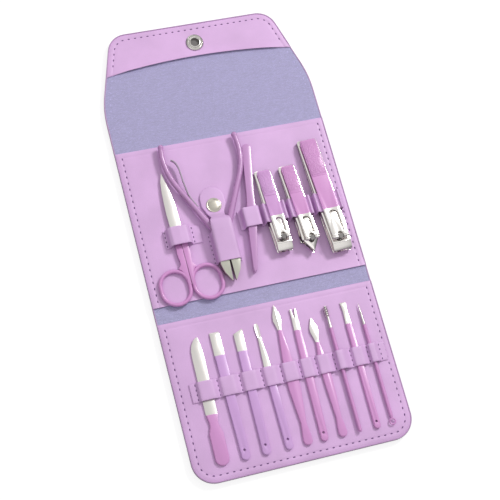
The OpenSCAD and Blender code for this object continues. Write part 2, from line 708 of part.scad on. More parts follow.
// Lever in its stored place, flat over the leaf with its fork on the axle
module clipper_lever(i) {
  l = (clipper_l[i] - pin_s - 1.2) / cos(leaf_slope(i));
  w = clipper_ws[i] / 2 - 1.2;
  slot = pin_r + 0.25;
  base_l = clipper_base_l(i);
  at_clipper(i) translate([0, pin_s, axle_z(i)]) rotate([-leaf_slope(i), 0, 0]) {
    color(steel) difference() {
      union() {
        translate([0, 0, -lever_t / 2]) linear_extrude(lever_t) difference() {
          translate([-w, 0]) square([2 * w, base_l]);
          translate([-slot, -1]) square([2 * slot, 2.4]);
          translate([0, 1.4]) circle(slot);
          lever_hook(w, base_l);
        }
        for (s = [-1, 1]) translate([s * (w + slot) / 2, 0, 0]) rotate([0, 90, 0])
          cylinder(h = w - slot, r = eye_r, center = true);
      }
      rotate([0, 90, 0]) cylinder(h = 30, r = axle_r + 0.05, center = true);
    }
    color(i == 0 ? paint_violet : paint) {
      translate([0, 0, -lever_t / 2]) linear_extrude(lever_t)
        polygon(both(concat([[w, base_l]], arc([w - 1.5, l - 1.5], 1.5, 0, 90, 4))));
      translate([0, 0, lever_t / 2]) linear_extrude(0.3)
        polygon(both([[w - 0.7, l * 0.62], [w - 0.7, l - 1.2], [w - 1.4, l - 0.6]]));
    }
  }
}

// Length of a lever's unpainted base
function clipper_base_l(i) = clipper_l[i] * 0.36 - (i == 2 ? 9 : 5.5);

// Hook-shaped slot that runs from the pin round to the lever's middle
module lever_hook(w, base_l) {
  r = w * 0.5;
  y1 = base_l - r - 2.2;
  polygon(strip(concat([[r, 4], [r, y1]], arc([0, y1], r, 20, 150, 8)), 1));
}

module clipper_small_base() clipper_base(0, false);
module clipper_small_leaf() clipper_leaf(0, false);
module clipper_small_rivet() clipper_rivet(0);
module clipper_small_pin() clipper_pin(0);
module clipper_small_lever() clipper_lever(0);
module clipper_point_base() clipper_base(1, true);
module clipper_point_leaf() clipper_leaf(1, true);
module clipper_point_rivet() clipper_rivet(1);
module clipper_point_pin() clipper_pin(1);
module clipper_point_lever() clipper_lever(1);
module clipper_large_base() clipper_base(2, false);
module clipper_large_leaf() clipper_leaf(2, false);
module clipper_large_rivet() clipper_rivet(2);
module clipper_large_pin() clipper_pin(2);
module clipper_large_lever() clipper_lever(2);

// Small tools of the lower row, with their feet at the origin and their heads towards Y

row_mid = row_strap_y + row_strap_w / 2;

module at_pocket(i) translate([tool_x(i), y_foot + row_mid, z_seat]) rotate([0, 0, row_turns[i]])
  translate([0, row_foot - row_mid, 0]) children();

chamfer = 0.4;

// Half outline with a round foot of radius r, drawn in by d
function grip(r, points, d = 0) =
  concat([for (a = [0:15:90]) [(r - d) * sin(a), r - (r - d) * cos(a)]], [for (p = points) [p[0] - d, p[1]]]);

// Painted handle with chamfered upper edges
module handle(r, points) {
  linear_extrude(handle_t - chamfer) polygon(both(grip(r, points)));
  linear_extrude(handle_t) polygon(both(grip(r, points, chamfer)));
}

module hang_hole(y) translate([0, y, -1]) cylinder(h = 10, r = hang_r);

// Wedge that thins a blade from y0 to its end at y1, turned by a
module bevel(y0, y1, a = 0) translate([0, y1, 0]) rotate([0, 0, a])
  slab(20, [[0.5, 0.35], [0.5, 4], [y0 - y1, 4], [y0 - y1, steel_t]]);

module nail_file() color(steel) at_pocket(0) {
  handle(4.6, [[4.6, 21], [2.9, 26.5], [2.9, 28.5], [3.9, 33.6]]);
  linear_extrude(steel_t) polygon([[-3.9, 33.4], [3.9, 33.4], [4.1, 74], [3.9, 76.5], [2.6, 85.2], [1.8, 85.5],
    [-0.4, 84], [-2.4, 81], [-3.6, 77], [-3.9, 72]]);
}

module straight_chisel() color(paint_violet) at_pocket(1) difference() {
  union() {
    handle(2.9, [[3.4, 43], [3.5, 70.4]]);
    linear_extrude(steel_t) polygon([[-3.5, 70.2], [3.5, 70.2], [3.2, 86.2], [-3.2, 86.2]]);
  }
  hang_hole(6.6);
  bevel(83.6, 86.2);
}

module slanted_chisel() color(paint_violet) at_pocket(2) difference() {
  union() {
    handle(2.8, [[3.2, 43], [3.2, 70]]);
    linear_extrude(steel_t) polygon([[-3.1, 69.8], [3.1, 69.8], [3.2, 84.9], [-3.2, 82.2]]);
  }
  hang_hole(6.7);
  bevel(81, 83.5, 23);
}

module long_scoop() color(paint_violet) at_pocket(3) difference() {
  union() {
    handle(2.6, [[2.8, 30], [2.6, 51]]);
    linear_extrude(steel_t) polygon(both([[2.6, 50.8], [2.3, 55], [1.15, 75], [1.5, 82], [1.4, 84.6], [0.8, 86]]));
  }
  hang_hole(6.9);
  translate([0, 86.5, steel_t + 3]) rotate([90, 0, 0]) cylinder(h = 10, r = 3.5);
}

module spear_pusher() color(paint) at_pocket(4) {
  handle(3, [[2.9, 6], [1.9, 14.3], [4, 38], [4, 46], [3.3, 58], [1.3, 78.4]]);
  linear_extrude(steel_t) polygon(both([[1.3, 78.2], [1.5, 79.6], [2.9, 85], [2.5, 88.5], [0.3, 95.6]]));
  linear_extrude(steel_t + 0.3) polygon(both([[0.5, 78.2], [0.5, 90], [0.1, 93]]));
}

module cuticle_fork() color(paint) at_pocket(5) difference() {
  union() {
    handle(2.5, [[2.8, 43], [2.4, 75.8]]);
    linear_extrude(steel_t) polygon(both([[2.3, 75.6], [2.1, 84], [2.2, 90.3], [1.6, 90.6]]));
  }
  hang_hole(5.7);
  translate([0, 0, -1]) linear_extrude(10) polygon(both([[0.2, 84.6], [1.2, 91]]));
}

module leaf_scraper() color(paint) at_pocket(6) {
  handle(2.9, [[2.6, 7.5], [1.9, 12.8], [3, 38], [2.8, 52], [1.1, 65]]);
  linear_extrude(steel_t) polygon(both([[1.1, 64.8], [1.6, 67.5], [2.9, 72.5], [2.7, 75.5], [0.3, 81.8]]));
}

spiral_n = 5;
spiral_pitch = 1.45;

module ear_spiral() color(paint) at_pocket(7) translate([0, 0, spiral_r]) rotate([-90, 0, 0]) {
  translate([0, 0, 0.6]) cylinder(h = 0.9, r1 = rod_r - 0.5, r2 = rod_r);
  translate([0, 0, 1.5]) cylinder(h = 70, r = rod_r);
  translate([0, 0, 71.5]) cylinder(h = 6, r1 = rod_r, r2 = 0.9);
  translate([0, 0, 77.5]) cylinder(h = 10, r = 0.9);
  for (k = [0:spiral_n - 1]) translate([0, 0, 80.4 + k * spiral_pitch]) {
    cylinder(h = 0.35, r1 = spiral_r - 0.35, r2 = spiral_r);
    translate([0, 0, 0.35]) cylinder(h = 0.35, r1 = spiral_r, r2 = spiral_r - 0.35);
  }
}

module narrow_chisel() color(paint) at_pocket(8) difference() {
  union() {
    handle(2.2, [[2.3, 43], [2.1, 72.6]]);
    linear_extrude(steel_t) polygon(both([[2, 72.4], [1.6, 80], [1.7, 84.4], [2.2, 87.7]]));
  }
  hang_hole(4.9);
  bevel(85.4, 87.7);
}

wire_r = 0.45;

module needle() color(paint) at_pocket(9) translate([0, 0, rod_r]) {
  translate([0, 2.35, 0]) rotate_extrude() translate([1.9, 0]) circle(wire_r, $fn = 24);
  rotate([-90, 0, 0]) {
    translate([0, 0, 4]) cylinder(h = 2.4, r1 = wire_r, r2 = rod_r);
    translate([0, 0, 6.4]) cylinder(h = 63, r = rod_r);
    translate([0, 0, 69.4]) cylinder(h = 0.8, r1 = rod_r, r2 = 0.9);
    translate([0, 0, 70.2]) cylinder(h = 8, r1 = 0.9, r2 = 0.7);
    translate([0, 0, 78.2]) cylinder(h = 6.4, r1 = 0.7, r2 = 0.15);
  }
}

upper_cover();
upper_board();
upper_lining();
upper_overlay();
spine_cover();
spine_lining();
lower_cover();
lower_board();
lower_lining();
lower_overlay();
lower_strap();
lower_stud();
bridge_cover();
bridge_lining();
flap_cover();
flap_lining();
flap_band();
flap_socket();
flap_cap();
tool_strap();
scissors_loop();
holster_sleeve();
holster_tongue();
holster_cap();
holster_stud();
scissors_ring_left();
scissors_ring_right();
scissors_screw();
nipper_left();
nipper_right();
nipper_rivet();
nipper_spring();
tweezers_base();
tweezers_arm();
clipper_small_base();
clipper_small_leaf();
clipper_small_rivet();
clipper_small_pin();
clipper_small_lever();
clipper_point_base();
clipper_point_leaf();
clipper_point_rivet();
clipper_point_pin();
clipper_point_lever();
clipper_large_base();
clipper_large_leaf();
clipper_large_rivet();
clipper_large_pin();
clipper_large_lever();
nail_file();
straight_chisel();
slanted_chisel();
long_scoop();
spear_pusher();
cuticle_fork();
leaf_scraper();
ear_spiral();
narrow_chisel();
needle();
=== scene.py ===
import json
import math

import bmesh
import bpy
import numpy as np
from bpy.props import FloatProperty, FloatVectorProperty, IntProperty, PointerProperty
from mathutils import Euler, Matrix, Vector


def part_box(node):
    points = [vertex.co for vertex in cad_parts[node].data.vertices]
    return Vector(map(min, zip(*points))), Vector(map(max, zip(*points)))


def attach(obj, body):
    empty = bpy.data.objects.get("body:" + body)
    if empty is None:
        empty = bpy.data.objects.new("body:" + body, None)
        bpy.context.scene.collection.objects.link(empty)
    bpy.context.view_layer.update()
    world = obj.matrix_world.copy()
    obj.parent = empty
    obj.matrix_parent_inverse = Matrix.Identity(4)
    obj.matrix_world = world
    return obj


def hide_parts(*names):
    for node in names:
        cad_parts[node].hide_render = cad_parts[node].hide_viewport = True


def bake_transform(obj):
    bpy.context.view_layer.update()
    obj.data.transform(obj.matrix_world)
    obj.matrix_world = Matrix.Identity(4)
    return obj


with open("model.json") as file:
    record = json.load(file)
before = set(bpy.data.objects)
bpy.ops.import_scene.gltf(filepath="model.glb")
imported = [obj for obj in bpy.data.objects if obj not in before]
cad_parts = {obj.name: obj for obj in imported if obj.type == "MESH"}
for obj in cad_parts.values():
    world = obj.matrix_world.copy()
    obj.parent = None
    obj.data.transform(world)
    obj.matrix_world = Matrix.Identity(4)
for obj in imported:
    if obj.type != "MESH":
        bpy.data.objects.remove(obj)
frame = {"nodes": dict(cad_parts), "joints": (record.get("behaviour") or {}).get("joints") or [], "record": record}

bl_info = {
    "name": "Manicure Set Case",
    "version": (1, 0, 0),
    "blender": (4, 5, 0),
    "location": "3D Viewport > Sidebar > Manicure Set",
    "description": "Dresses an open manicure case and its tools in leather, lacquer and steel",
    "category": "Object",
}

MM = 0.001

# Places of the case, taken from the frame
Z_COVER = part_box("upper_cover")[0].z
Z_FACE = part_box("upper_lining")[1].z
Z_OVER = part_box("upper_overlay")[1].z
Y_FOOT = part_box("lower_cover")[0].y
Y_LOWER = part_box("lower_cover")[1].y
Y_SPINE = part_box("upper_cover")[0].y
Y_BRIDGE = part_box("upper_cover")[1].y
Y_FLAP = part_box("flap_cover")[0].y
Y_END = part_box("flap_cover")[1].y
Y_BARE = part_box("upper_overlay")[1].y
HALF_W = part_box("upper_cover")[1].x
COVER_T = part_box("upper_cover")[1].z - Z_COVER
OVERLAY_T = Z_OVER - Z_FACE
LINING_T = 0.5 * MM
STRAP_T = 0.9 * MM
MID_SPINE = (Y_LOWER + Y_SPINE) / 2
MID_UPPER = (Y_SPINE + Y_BRIDGE) / 2
MID_BRIDGE = (Y_BRIDGE + Y_FLAP) / 2

# How far the cover and the lining stay inside the outline, and the lining's roll and groove at its edge
COVER_IN = 0.4 * MM
LINING_IN = 0.5 * MM
LINING_ROLL = 0.25 * MM
LINING_GROOVE = 0.12 * MM

# Facings of the panels: share of the turned edge that they leave free, gap at the spine, roll at the edges,
# groove of the seam, and rise of the spine edge
FACING_OFF = 0.8
FACING_IN = 0.2 * MM
FACING_ROLL = 0.45 * MM
FACING_GROOVE = 0.2 * MM
FACING_FREE = 0.4 * MM

# Straps: reach of the roll at a cut edge, and how far the ends are pressed down
EDGE_ROLL = 0.9 * MM
STRAP_TUCK = 0.1 * MM

# Stitches: width, length of those in the straps, and distance of the sleeve's seam from its side
STITCH_W = 0.8 * MM
SHORT_STITCH = 1.5 * MM
SLEEVE_SEAM = 0.75 * MM

# Outline of the case: corner of the lower panel, then knee, bend, lean and corner of the flap
LOWER_CORNER = 15 * MM
FLAP_KNEE = 4 * MM
FLAP_BEND = HALF_W
FLAP_LEAN = math.radians(17)
FLAP_CORNER = 14 * MM
BAND_SAG = 5 * MM
BAND_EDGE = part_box("flap_band")[0].y

# Small tools from left to right, in mm: width of the pocket in the strap, and height of the lacquer.
# The strap's first seam is at ROW_LEFT, and NEEDLE_T is the needle's thickness under it.
SMALL_TOOLS = {
    "nail_file": (14.7, 33.5), "straight_chisel": (15, 70.3), "slanted_chisel": (14.7, 69.9),
    "long_scoop": (13.3, 50.9), "spear_pusher": (12.8, 78.3), "cuticle_fork": (11.3, 75.7),
    "leaf_scraper": (12.6, 64.9), "ear_spiral": (11.9, 71.5), "narrow_chisel": (11.8, 72.5),
    "needle": (8.7, 69.6),
}
VIOLET_TOOLS = ("straight_chisel", "slanted_chisel", "long_scoop")
ROW_LEFT = -60.3 * MM
NEEDLE_T = 2.4 * MM
CLIPPERS = ["clipper_small", "clipper_point", "clipper_large"]

# Half widths of the holster's tongue at distances from its fold, in mm, with a neck between the handles
TONGUE = [
    (0, 7.4), (4, 7.3), (8, 6.6), (9.8, 4.9), (11.7, 5.2), (13.7, 5.7), (15.7, 6.5), (17.9, 7.5), (20, 8.4),
    (25, 8.4),
]

# Press studs: bore of the socket, radius of the stem behind it, and of the hole in the band round it
STUD_BORE = 3.1 * MM
STEM_R = 2.4 * MM
BAND_HOLE = 4.5 * MM

# Where the nipper's lacquer starts, from the tips of its jaws, and where the scissors' ends, from their screw
NIPPER_PAINT = 14.5 * MM
SCISSORS_PAINT = 5.5 * MM

# Rows of a strap's mesh, as shares of its width
STRAP_ROWS = [0, 0.03, 0.08, 0.16, 0.3, 0.5, 0.7, 0.84, 0.92, 0.97, 1]

# Lamps: place, diameter and power
LAMPS = {
    "key": ((0.95, 0.62, 1.15), 0.36, 13.4),
    "fill": ((-0.7, -0.3, 0.8), 0.9, 0.6),
    "back": ((0.0, 1.0, 0.5), 0.7, 1.2),
}

BODY_OF = {n: b for b, nodes in frame["record"]["behaviour"]["bodies"].items() for n in nodes}
JOINTS = {j["name"]: j for j in frame["joints"]}


# Settings that a user would change


def colour_setting(name, description, default):
    return FloatVectorProperty(
        name=name, description=description, subtype="COLOR", size=3, default=default, min=0, max=1)


def length_setting(name, description, default, low, high):
    """A length with its limits, given in millimetres."""
    return FloatProperty(
        name=name, description=description, default=default * MM, min=low * MM, max=high * MM,
        subtype="DISTANCE", unit="LENGTH")


class CaseSettings(bpy.types.PropertyGroup):
    """Looks of the folding case."""

    leather: colour_setting("Leather", "Colour of the smooth lilac covering", (0.72, 0.455, 0.76))
    weave: colour_setting("Lining", "Colour of the woven lining", (0.50, 0.465, 0.72))
    # The thread's colour is dark: its own colour, and painted shade of the holes it is sewn through.
    thread: colour_setting("Thread", "Colour of the sewing thread and its holes", (0.17, 0.075, 0.23))
    rim_w: length_setting("Rim", "Width of the turned edge round the case", 0.9, 0.4, 2)
    seam_in: length_setting("Seam", "Distance from the edge to the sewn line", 4.6, 2, 8)
    pitch: length_setting("Stitch pitch", "Distance from one stitch to the next", 4.5, 2, 8)
    fold_reach: length_setting(
        "Fold", "Distance over which the sheets bend on each side of a fold", 4.5, 2, 5.2)


class ToolSettings(bpy.types.PropertyGroup):
    """Looks of the tools."""

    pink: colour_setting("Pink lacquer", "Colour of the pink handles", (0.68, 0.305, 0.64))
    violet: colour_setting("Violet lacquer", "Colour of the violet handles", (0.65, 0.375, 0.73))
    dusky: colour_setting("Dusky lacquer", "Colour of the nipper and the tweezers", (0.56, 0.29, 0.57))
    steel: colour_setting("Steel", "Colour of the bare steel", (0.78, 0.75, 0.72))
    edge: length_setting("Edge", "Width of the rounding on the tools' edges", 0.18, 0.05, 0.4)
    segments: IntProperty(
        name="Edge segments", description="Facets across a rounded edge", default=2, min=1, max=4)


class StageSettings(bpy.types.PropertyGroup):
    """Camera and floor."""

    camera: FloatVectorProperty(
        name="Camera", description="Place of the camera", subtype="TRANSLATION", unit="LENGTH",
        size=3, default=(-0.197, -0.2626, 0.8275))
    turn: FloatVectorProperty(
        name="Camera turn", description="Turn of the camera", subtype="EULER", unit="ROTATION",
        size=3, default=tuple(math.radians(a) for a in (19.27, -8.68, -14.86)))
    lens: FloatProperty(
        name="Lens", description="Focal length of the camera", default=94.1, min=20, max=200)


# Shader maths


class Value:
    """One output of a node tree, which ordinary sums turn into Math nodes."""

    def __init__(self, tree, socket=None):
        self.tree = tree
        self.socket = socket

    def node(self, kind, settings=None, inputs=None, output=0):
        """A node of that kind, with its settings made before its inputs are given or linked."""
        made = self.tree.nodes.new(kind)
        for key, setting in (settings or {}).items():
            setattr(made, key, setting)
        for key, given in (inputs or {}).items():
            if isinstance(given, Value):
                self.tree.links.new(given.socket, made.inputs[key])
            else:
                made.inputs[key].default_value = given
        return Value(self.tree, made.outputs[output])

    def math(self, operation, *values):
        return self.node("ShaderNodeMath", {"operation": operation}, dict(enumerate(values)))

    def __add__(self, other):
        return self.math("ADD", self, other)

    def __sub__(self, other):
        return self.math("SUBTRACT", self, other)

    def __rsub__(self, other):
        return self.math("SUBTRACT", other, self)

    def __mul__(self, other):
        return self.math("MULTIPLY", self, other)

    __radd__ = __add__
    __rmul__ = __mul__

    def step(self, start, end):
        """Goes smoothly from 0 at start to 1 at end."""
        limits = {"Value": self, "From Min": start, "From Max": end}
        return self.node("ShaderNodeMapRange", {"interpolation_type": "SMOOTHSTEP"}, limits)

    def window(self, start, end, soft):
        """Is 1 from start to end, and 0 outside, with an edge that reaches soft to each side."""
        return self.step(start - soft, start + soft) * (1 - self.step(end - soft, end + soft))

    def blend(self, low, high):
        """The colour low where this value is 0, and high where it is 1."""
        colours = {0: self, 6: rgba(low), 7: rgba(high)}
        return self.node("ShaderNodeMix", {"data_type": "RGBA"}, colours, output=2)

    def noise(self, place, scale, detail=2.0):
        return self.node("ShaderNodeTexNoise", None, {"Vector": place, "Scale": scale, "Detail": detail})

    def streaks(self, place, scales):
        """Noise with a scale of its own along each axis."""
        return self.noise(self.node("ShaderNodeMapping", None, {"Vector": place, "Scale": scales}), 1.0)

    def lead_out(self, kind="Material"):
        """Ends the tree with this shader."""
        end = self.tree.nodes.new("ShaderNodeOutput" + kind)
        self.tree.links.new(self.socket, end.inputs["Surface"])


def rgba(colour):
    return colour if isinstance(colour, Value) else (*colour[:3], 1)


def shade(colour, factor):
    return tuple(min(1, c * factor) for c in colour)


def new_material(name):
    """An empty material, its first Value and its Object coordinates."""
    material = bpy.data.materials.new(name)
    material.use_nodes = True
    material.node_tree.nodes.clear()
    first = Value(material.node_tree)
    place = first.node("ShaderNodeTexCoord", output=3)
    return material, first, place


def finish_material(first, colour, roughness, height, depth, **constants):
    """Ends a material in one Principled shader, with bumps of the given height."""
    inputs = {"Base Color": rgba(colour), "Roughness": roughness}
    for key, given in constants.items():
        inputs[key.replace("_", " ").title().replace("Ior", "IOR")] = given
    bump = {"Height": height, "Distance": depth, "Strength": 1.0}
    inputs["Normal"] = first.node("ShaderNodeBump", None, bump)
    first.node("ShaderNodeBsdfPrincipled", None, inputs).lead_out()


def leather_material(name, colour, grain=1.0):
    """Smooth synthetic leather with a fine pebbled grain and faint cloudiness."""
    material, first, place = new_material(name)
    pebbles = {"Vector": place, "Scale": 1500.0}
    cells = first.node("ShaderNodeTexVoronoi", {"feature": "SMOOTH_F1"}, pebbles)
    cloud = first.noise(place, 45.0, 3.0)
    fine = first.noise(place, 2600.0, 1.0)
    mottle = (cloud * 0.9 + fine * 0.25).step(0.35, 0.85)
    tint = mottle.blend(shade(colour, 0.93), shade(colour, 1.05))
    height = cells * 0.6 + fine * 0.5 + first.noise(place, 160.0) * 0.8
    finish_material(first, tint, cloud * 0.12 + 0.40, height, 0.05 * MM * grain, specular_ior_level=0.4)
    return material


def weave_material(name, colour):
    """Woven lining: short level yarns in staggered rows, with pale specks."""
    material, first, place = new_material(name)
    yarn = first.node(
        "ShaderNodeTexBrick", {"offset": 0.5, "offset_frequency": 2},
        {"Vector": place, "Color1": rgba((1, 1, 1)), "Color2": rgba((0.55, 0.55, 0.55)),
         "Mortar": rgba((0, 0, 0)), "Scale": 1.0, "Mortar Size": 0.10 * MM, "Mortar Smooth": 0.8, "Bias": 0.0,
         "Brick Width": 1.5 * MM, "Row Height": 0.62 * MM})
    speck = first.noise(place, 1500.0, 2.0).step(0.56, 0.72)
    streak = first.streaks(place, (180.0, 900.0, 300.0))
    light = yarn * 0.6 + streak * 0.4
    tint = light.blend(shade(colour, 0.68), shade(colour, 1.24))
    tint = (speck * 0.5).blend(tint, shade(colour, 1.5))
    finish_material(first, tint, 0.9, yarn + streak * 0.7, 0.18 * MM, specular_ior_level=0.2)
    return material


def thread_material(name, colour):
    material, first, place = new_material(name)
    bands = {"Vector": place, "Scale": 700.0}
    twist = first.node("ShaderNodeTexWave", {"bands_direction": "DIAGONAL"}, bands)
    finish_material(first, twist.blend(shade(colour, 0.8), shade(colour, 1.15)), 0.7, twist, 0.04 * MM)
    return material


def card_material(name):
    material, first, place = new_material(name)
    fibre = first.noise(place, 700.0, 4.0)
    finish_material(first, fibre.blend((0.40, 0.38, 0.35), (0.55, 0.52, 0.48)), 0.9, fibre, 0.05 * MM)
    return material


def steel_material(name, colour, roughness, brushed=(40.0, 900.0, 40.0), sides=1.0):
    """Polished steel with faint polishing lines, and with painted shade that scales the brightness of its upright
    sides.
    """
    material, first, place = new_material(name)
    lines = first.streaks(place, brushed)
    tint = lines.blend(shade(colour, 0.94), colour)
    # Painted shade: faces that stand upright get the colour scaled by the given factor.
    if sides != 1:
        normal = first.node("ShaderNodeTexCoord", output=1)
        facing = first.node("ShaderNodeSeparateXYZ", None, {"Vector": normal}, output=2)
        level = facing.math("ABSOLUTE", facing).step(0.3, 0.8)
        tint = level.blend(shade(colour, sides), tint)
    finish_material(first, tint, lines * 0.10 + (roughness - 0.05), lines, 0.004 * MM, metallic=1.0)
    return material


def painted_material(name, paint, steel, axis, foot, painted, roughness=0.30, grip=None):
    """Steel that is painted, and pebbled in its grip with painted shade in the grooves, between distances from the
    foot along the axis.
    """
    material, first, place = new_material(name)
    dot = {"operation": "DOT_PRODUCT"}
    along = first.node("ShaderNodeVectorMath", dot, {0: place, 1: axis}, output=1) - foot
    mask = along.window(*painted, 0.15 * MM)
    cloud = first.noise(place, 130.0, 2.0)
    coat = cloud.blend(shade(paint, 0.96), shade(paint, 1.04))
    height = first.noise(place, 900.0, 1.0) * mask * 0.15
    if grip:
        pad = along.window(*grip, 0.1 * MM)
        cells = first.node(
            "ShaderNodeTexVoronoi", {"feature": "SMOOTH_F1"},
            {"Vector": place, "Scale": 1000.0, "Randomness": 0.55, "Smoothness": 0.4})
        # Painted shade: in the grip, the grooves between the pebbles are darkened to 0.88 of the lacquer.
        coat = (pad * cells.step(0.25, 0.75)).blend(coat, shade(paint, 0.88))
        height = height + pad * (1.0 - cells.step(0.15, 0.75)) * 8.0
    bare = 0.32
    rough = mask * (roughness - bare) + bare + cloud * 0.06
    finish_material(
        first, mask.blend(steel, coat), rough, height, 0.02 * MM,
        metallic=1 - mask, coat_weight=mask * 0.25, coat_roughness=0.15)
    return material


# Mesh tools


def mesh_object(name, bm, material, body=None, node=None):
    """Turns a bmesh into a finished object that rides on a body and stands for a node."""
    mesh = bpy.data.meshes.new(name)
    bm.normal_update()
    bm.to_mesh(mesh)
    bm.free()
    mesh.shade_smooth()
    mesh.set_sharp_from_angle(angle=math.radians(42))
    obj = bpy.data.objects.new(name, mesh)
    bpy.context.scene.collection.objects.link(obj)
    obj.data.materials.append(material)
    if body is not None:
        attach(obj, body)
    for replaced in ([node] if isinstance(node, str) else node or []):
        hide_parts(replaced)
    return obj


def grid(us, vs, place):
    """A grid with the given steps, each of its points moved to place(u, v)."""
    bm = bmesh.new()
    columns, rows = len(us) - 1, len(vs) - 1
    bmesh.ops.create_grid(bm, x_segments=columns, y_segments=rows, size=1)
    i = [round((v.co.x + 1) / 2 * columns) for v in bm.verts]
    j = [round((v.co.y + 1) / 2 * rows) for v in bm.verts]
    points = place(np.asarray(us, float)[i], np.asarray(vs, float)[j])
    for vert, point in zip(bm.verts, points):
        vert.co = point
    bm.normal_update()
    return bm


def round_edges(bm, width, segments, angle):
    """Rounds the edges that are sharper than the angle."""
    sharp = [e for e in bm.edges if e.is_manifold and e.calc_face_angle(0) > math.radians(angle)]
    bmesh.ops.bevel(
        bm, geom=sharp, offset=width, segments=segments, affect="EDGES", profile=0.5, material=-1,
        clamp_overlap=True)


def thicken(bm, thickness, edge=0.0):
    """Gives a sheet its thickness, downwards, and rounds its rim."""
    bmesh.ops.solidify(bm, geom=bm.faces[:], thickness=thickness)
    bmesh.ops.recalc_face_normals(bm, faces=bm.faces[:])
    if edge:
        round_edges(bm, edge, 2, 60)
    return bm


def middle(node):
    """Middle of a node's box, as its X and Y."""
    low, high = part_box(node)
    return (low.x + high.x) / 2, (low.y + high.y) / 2


def distances(path):
    """How far each point of a path lies from its start, along the path."""
    return np.concatenate([[0], np.cumsum(np.linalg.norm(np.diff(path, axis=0), axis=1))])


def spread_evenly(path, count):
    """Another path along the same line, with its points evenly apart."""
    lengths = distances(path)
    spread = np.linspace(0, lengths[-1], count)
    return np.stack([np.interp(spread, lengths, values) for values in path.T], axis=1)


def half_width(y, inset=0.0):
    """Half width of the case's outline at height y, drawn in by inset."""
    y = np.asarray(y, float)
    width = np.full_like(y, HALF_W - inset)
    r = LOWER_CORNER - inset
    drop = np.clip(Y_FOOT + LOWER_CORNER - y, 0, r)
    width -= r - np.sqrt(np.maximum(r * r - drop * drop, 0))
    above = np.maximum(y - Y_FLAP - FLAP_KNEE, 0)
    turned = np.minimum(above, FLAP_BEND * math.sin(FLAP_LEAN))
    width -= FLAP_BEND - np.sqrt(FLAP_BEND**2 - turned**2)
    width -= np.maximum(above - FLAP_BEND * math.sin(FLAP_LEAN), 0) * math.tan(FLAP_LEAN)
    yc = Y_END - FLAP_CORNER
    touch = yc + FLAP_CORNER * math.sin(FLAP_LEAN)
    bend_x = FLAP_BEND * (1 - math.cos(FLAP_LEAN))
    straight = touch - Y_FLAP - FLAP_KNEE - FLAP_BEND * math.sin(FLAP_LEAN)
    xc = HALF_W - bend_x - straight * math.tan(FLAP_LEAN) - FLAP_CORNER * math.cos(FLAP_LEAN)
    r = FLAP_CORNER - inset
    rise = np.clip(y - yc, 0, r)
    return np.where(y > touch, xc + np.sqrt(np.maximum(r * r - rise * rise, 0)), width)


def outline(inset):
    """Right half of the outline, from the middle of the foot to the middle of the flap's end."""
    ys = np.concatenate([
        Y_FOOT + inset + (LOWER_CORNER - inset) * (1 - np.cos(np.linspace(0, math.pi / 2, 16))),
        np.linspace(Y_FOOT + LOWER_CORNER + MM, Y_FLAP, 60),
        np.linspace(Y_FLAP + MM, Y_END - FLAP_CORNER, 24),
        Y_END - inset - (FLAP_CORNER - inset) * (1 - np.sin(np.linspace(0, math.pi / 2, 18)))[1:],
    ])
    points = np.stack([half_width(ys, inset), ys], axis=1)
    ends = np.array([[0, ys[0]]]), np.array([[0, ys[-1]]])
    return np.concatenate([ends[0], points, ends[1]])


def edge_distance(x, y, line):
    """Distance from each point to the outline."""
    p = np.stack([np.abs(x), y], axis=1)[:, None, :]
    a, b = line[None, :-1], line[None, 1:]
    d = b - a
    t = np.clip(((p - a) * d).sum(2) / np.maximum((d * d).sum(2), 1e-18), 0, 1)
    return np.sqrt((((a + t[..., None] * d) - p) ** 2).sum(2)).min(1)


def across(inner=34):
    """Steps across a sheet, close together at its two edges."""
    edge = np.array([0, 0.25, 0.6, 1.1, 1.8, 2.6, 3.4, 4.0, 4.4, 4.8, 5.3, 6.2, 8]) * MM / HALF_W
    right = 1 - edge[::-1]
    return np.concatenate([-right[::-1], np.linspace(-right[0], right[0], inner)[1:-1], right])


def along(start, end, step=3.5 * MM, near_start=True, near_end=True):
    """Steps along a sheet, close together at the ends that are edges."""
    edge = [0, 0.15, 0.4, 0.8, 1.3, 1.9, 2.6, 3.4, 4.0, 4.4, 4.8, 5.3, 6.2, 7.5, 9, 10.5, 12.5, 15]
    edge = np.array(edge) * MM
    edge = edge[edge < (end - start) * 0.45]
    first = start + edge if near_start else np.array([start])
    last = end - edge[::-1] if near_end else np.array([end])
    inner = np.linspace(first[-1], last[0], max(2, int((last[0] - first[-1]) / step)))[1:-1]
    return np.concatenate([first, inner, last])


def fade(distance, reach):
    """Goes from 1 at a distance of 0 to 0 at reach."""
    return np.clip(1 - distance / reach, 0, 1)


def pinched(d, roll, seam_in, groove):
    """How far a sheet sinks at distance d from its edge, where it is rolled over, and along its seam."""
    fall = roll * fade(d, 2.4 * MM) ** 2.2
    return fall + groove * np.exp(-(((d - seam_in) / (0.55 * MM)) ** 2))


def ripple(x, y, size):
    """Faint unevenness of a sheet, never above its level."""
    wave = np.sin(x * 61 + 1.3) * np.sin(y * 47 + 0.4) + 0.6 * np.sin(x * 133 + y * 91)
    return -size * (0.5 + wave / 3.2)


def rounded(points, count, passes):
    """Spreads a path's points evenly and rounds its corners, with its ends kept."""
    path = spread_evenly(np.asarray(points, float), count)
    for _ in range(passes):
        path[1:-1] += 0.5 * ((path[:-2] + path[2:]) / 2 - path[1:-1])
    return path


def hump_path(x, left_half, ends, level):
    """A path over a hump round x, from one flat end to the other.

    The left half of the hump is given as distances from x and heights.
    """
    left = [[x - aside, z] for aside, z in left_half]
    right = [[x + aside, z] for aside, z in left_half[::-1] if aside]
    return [[ends[0], level], *left, *right, [ends[1], level]]


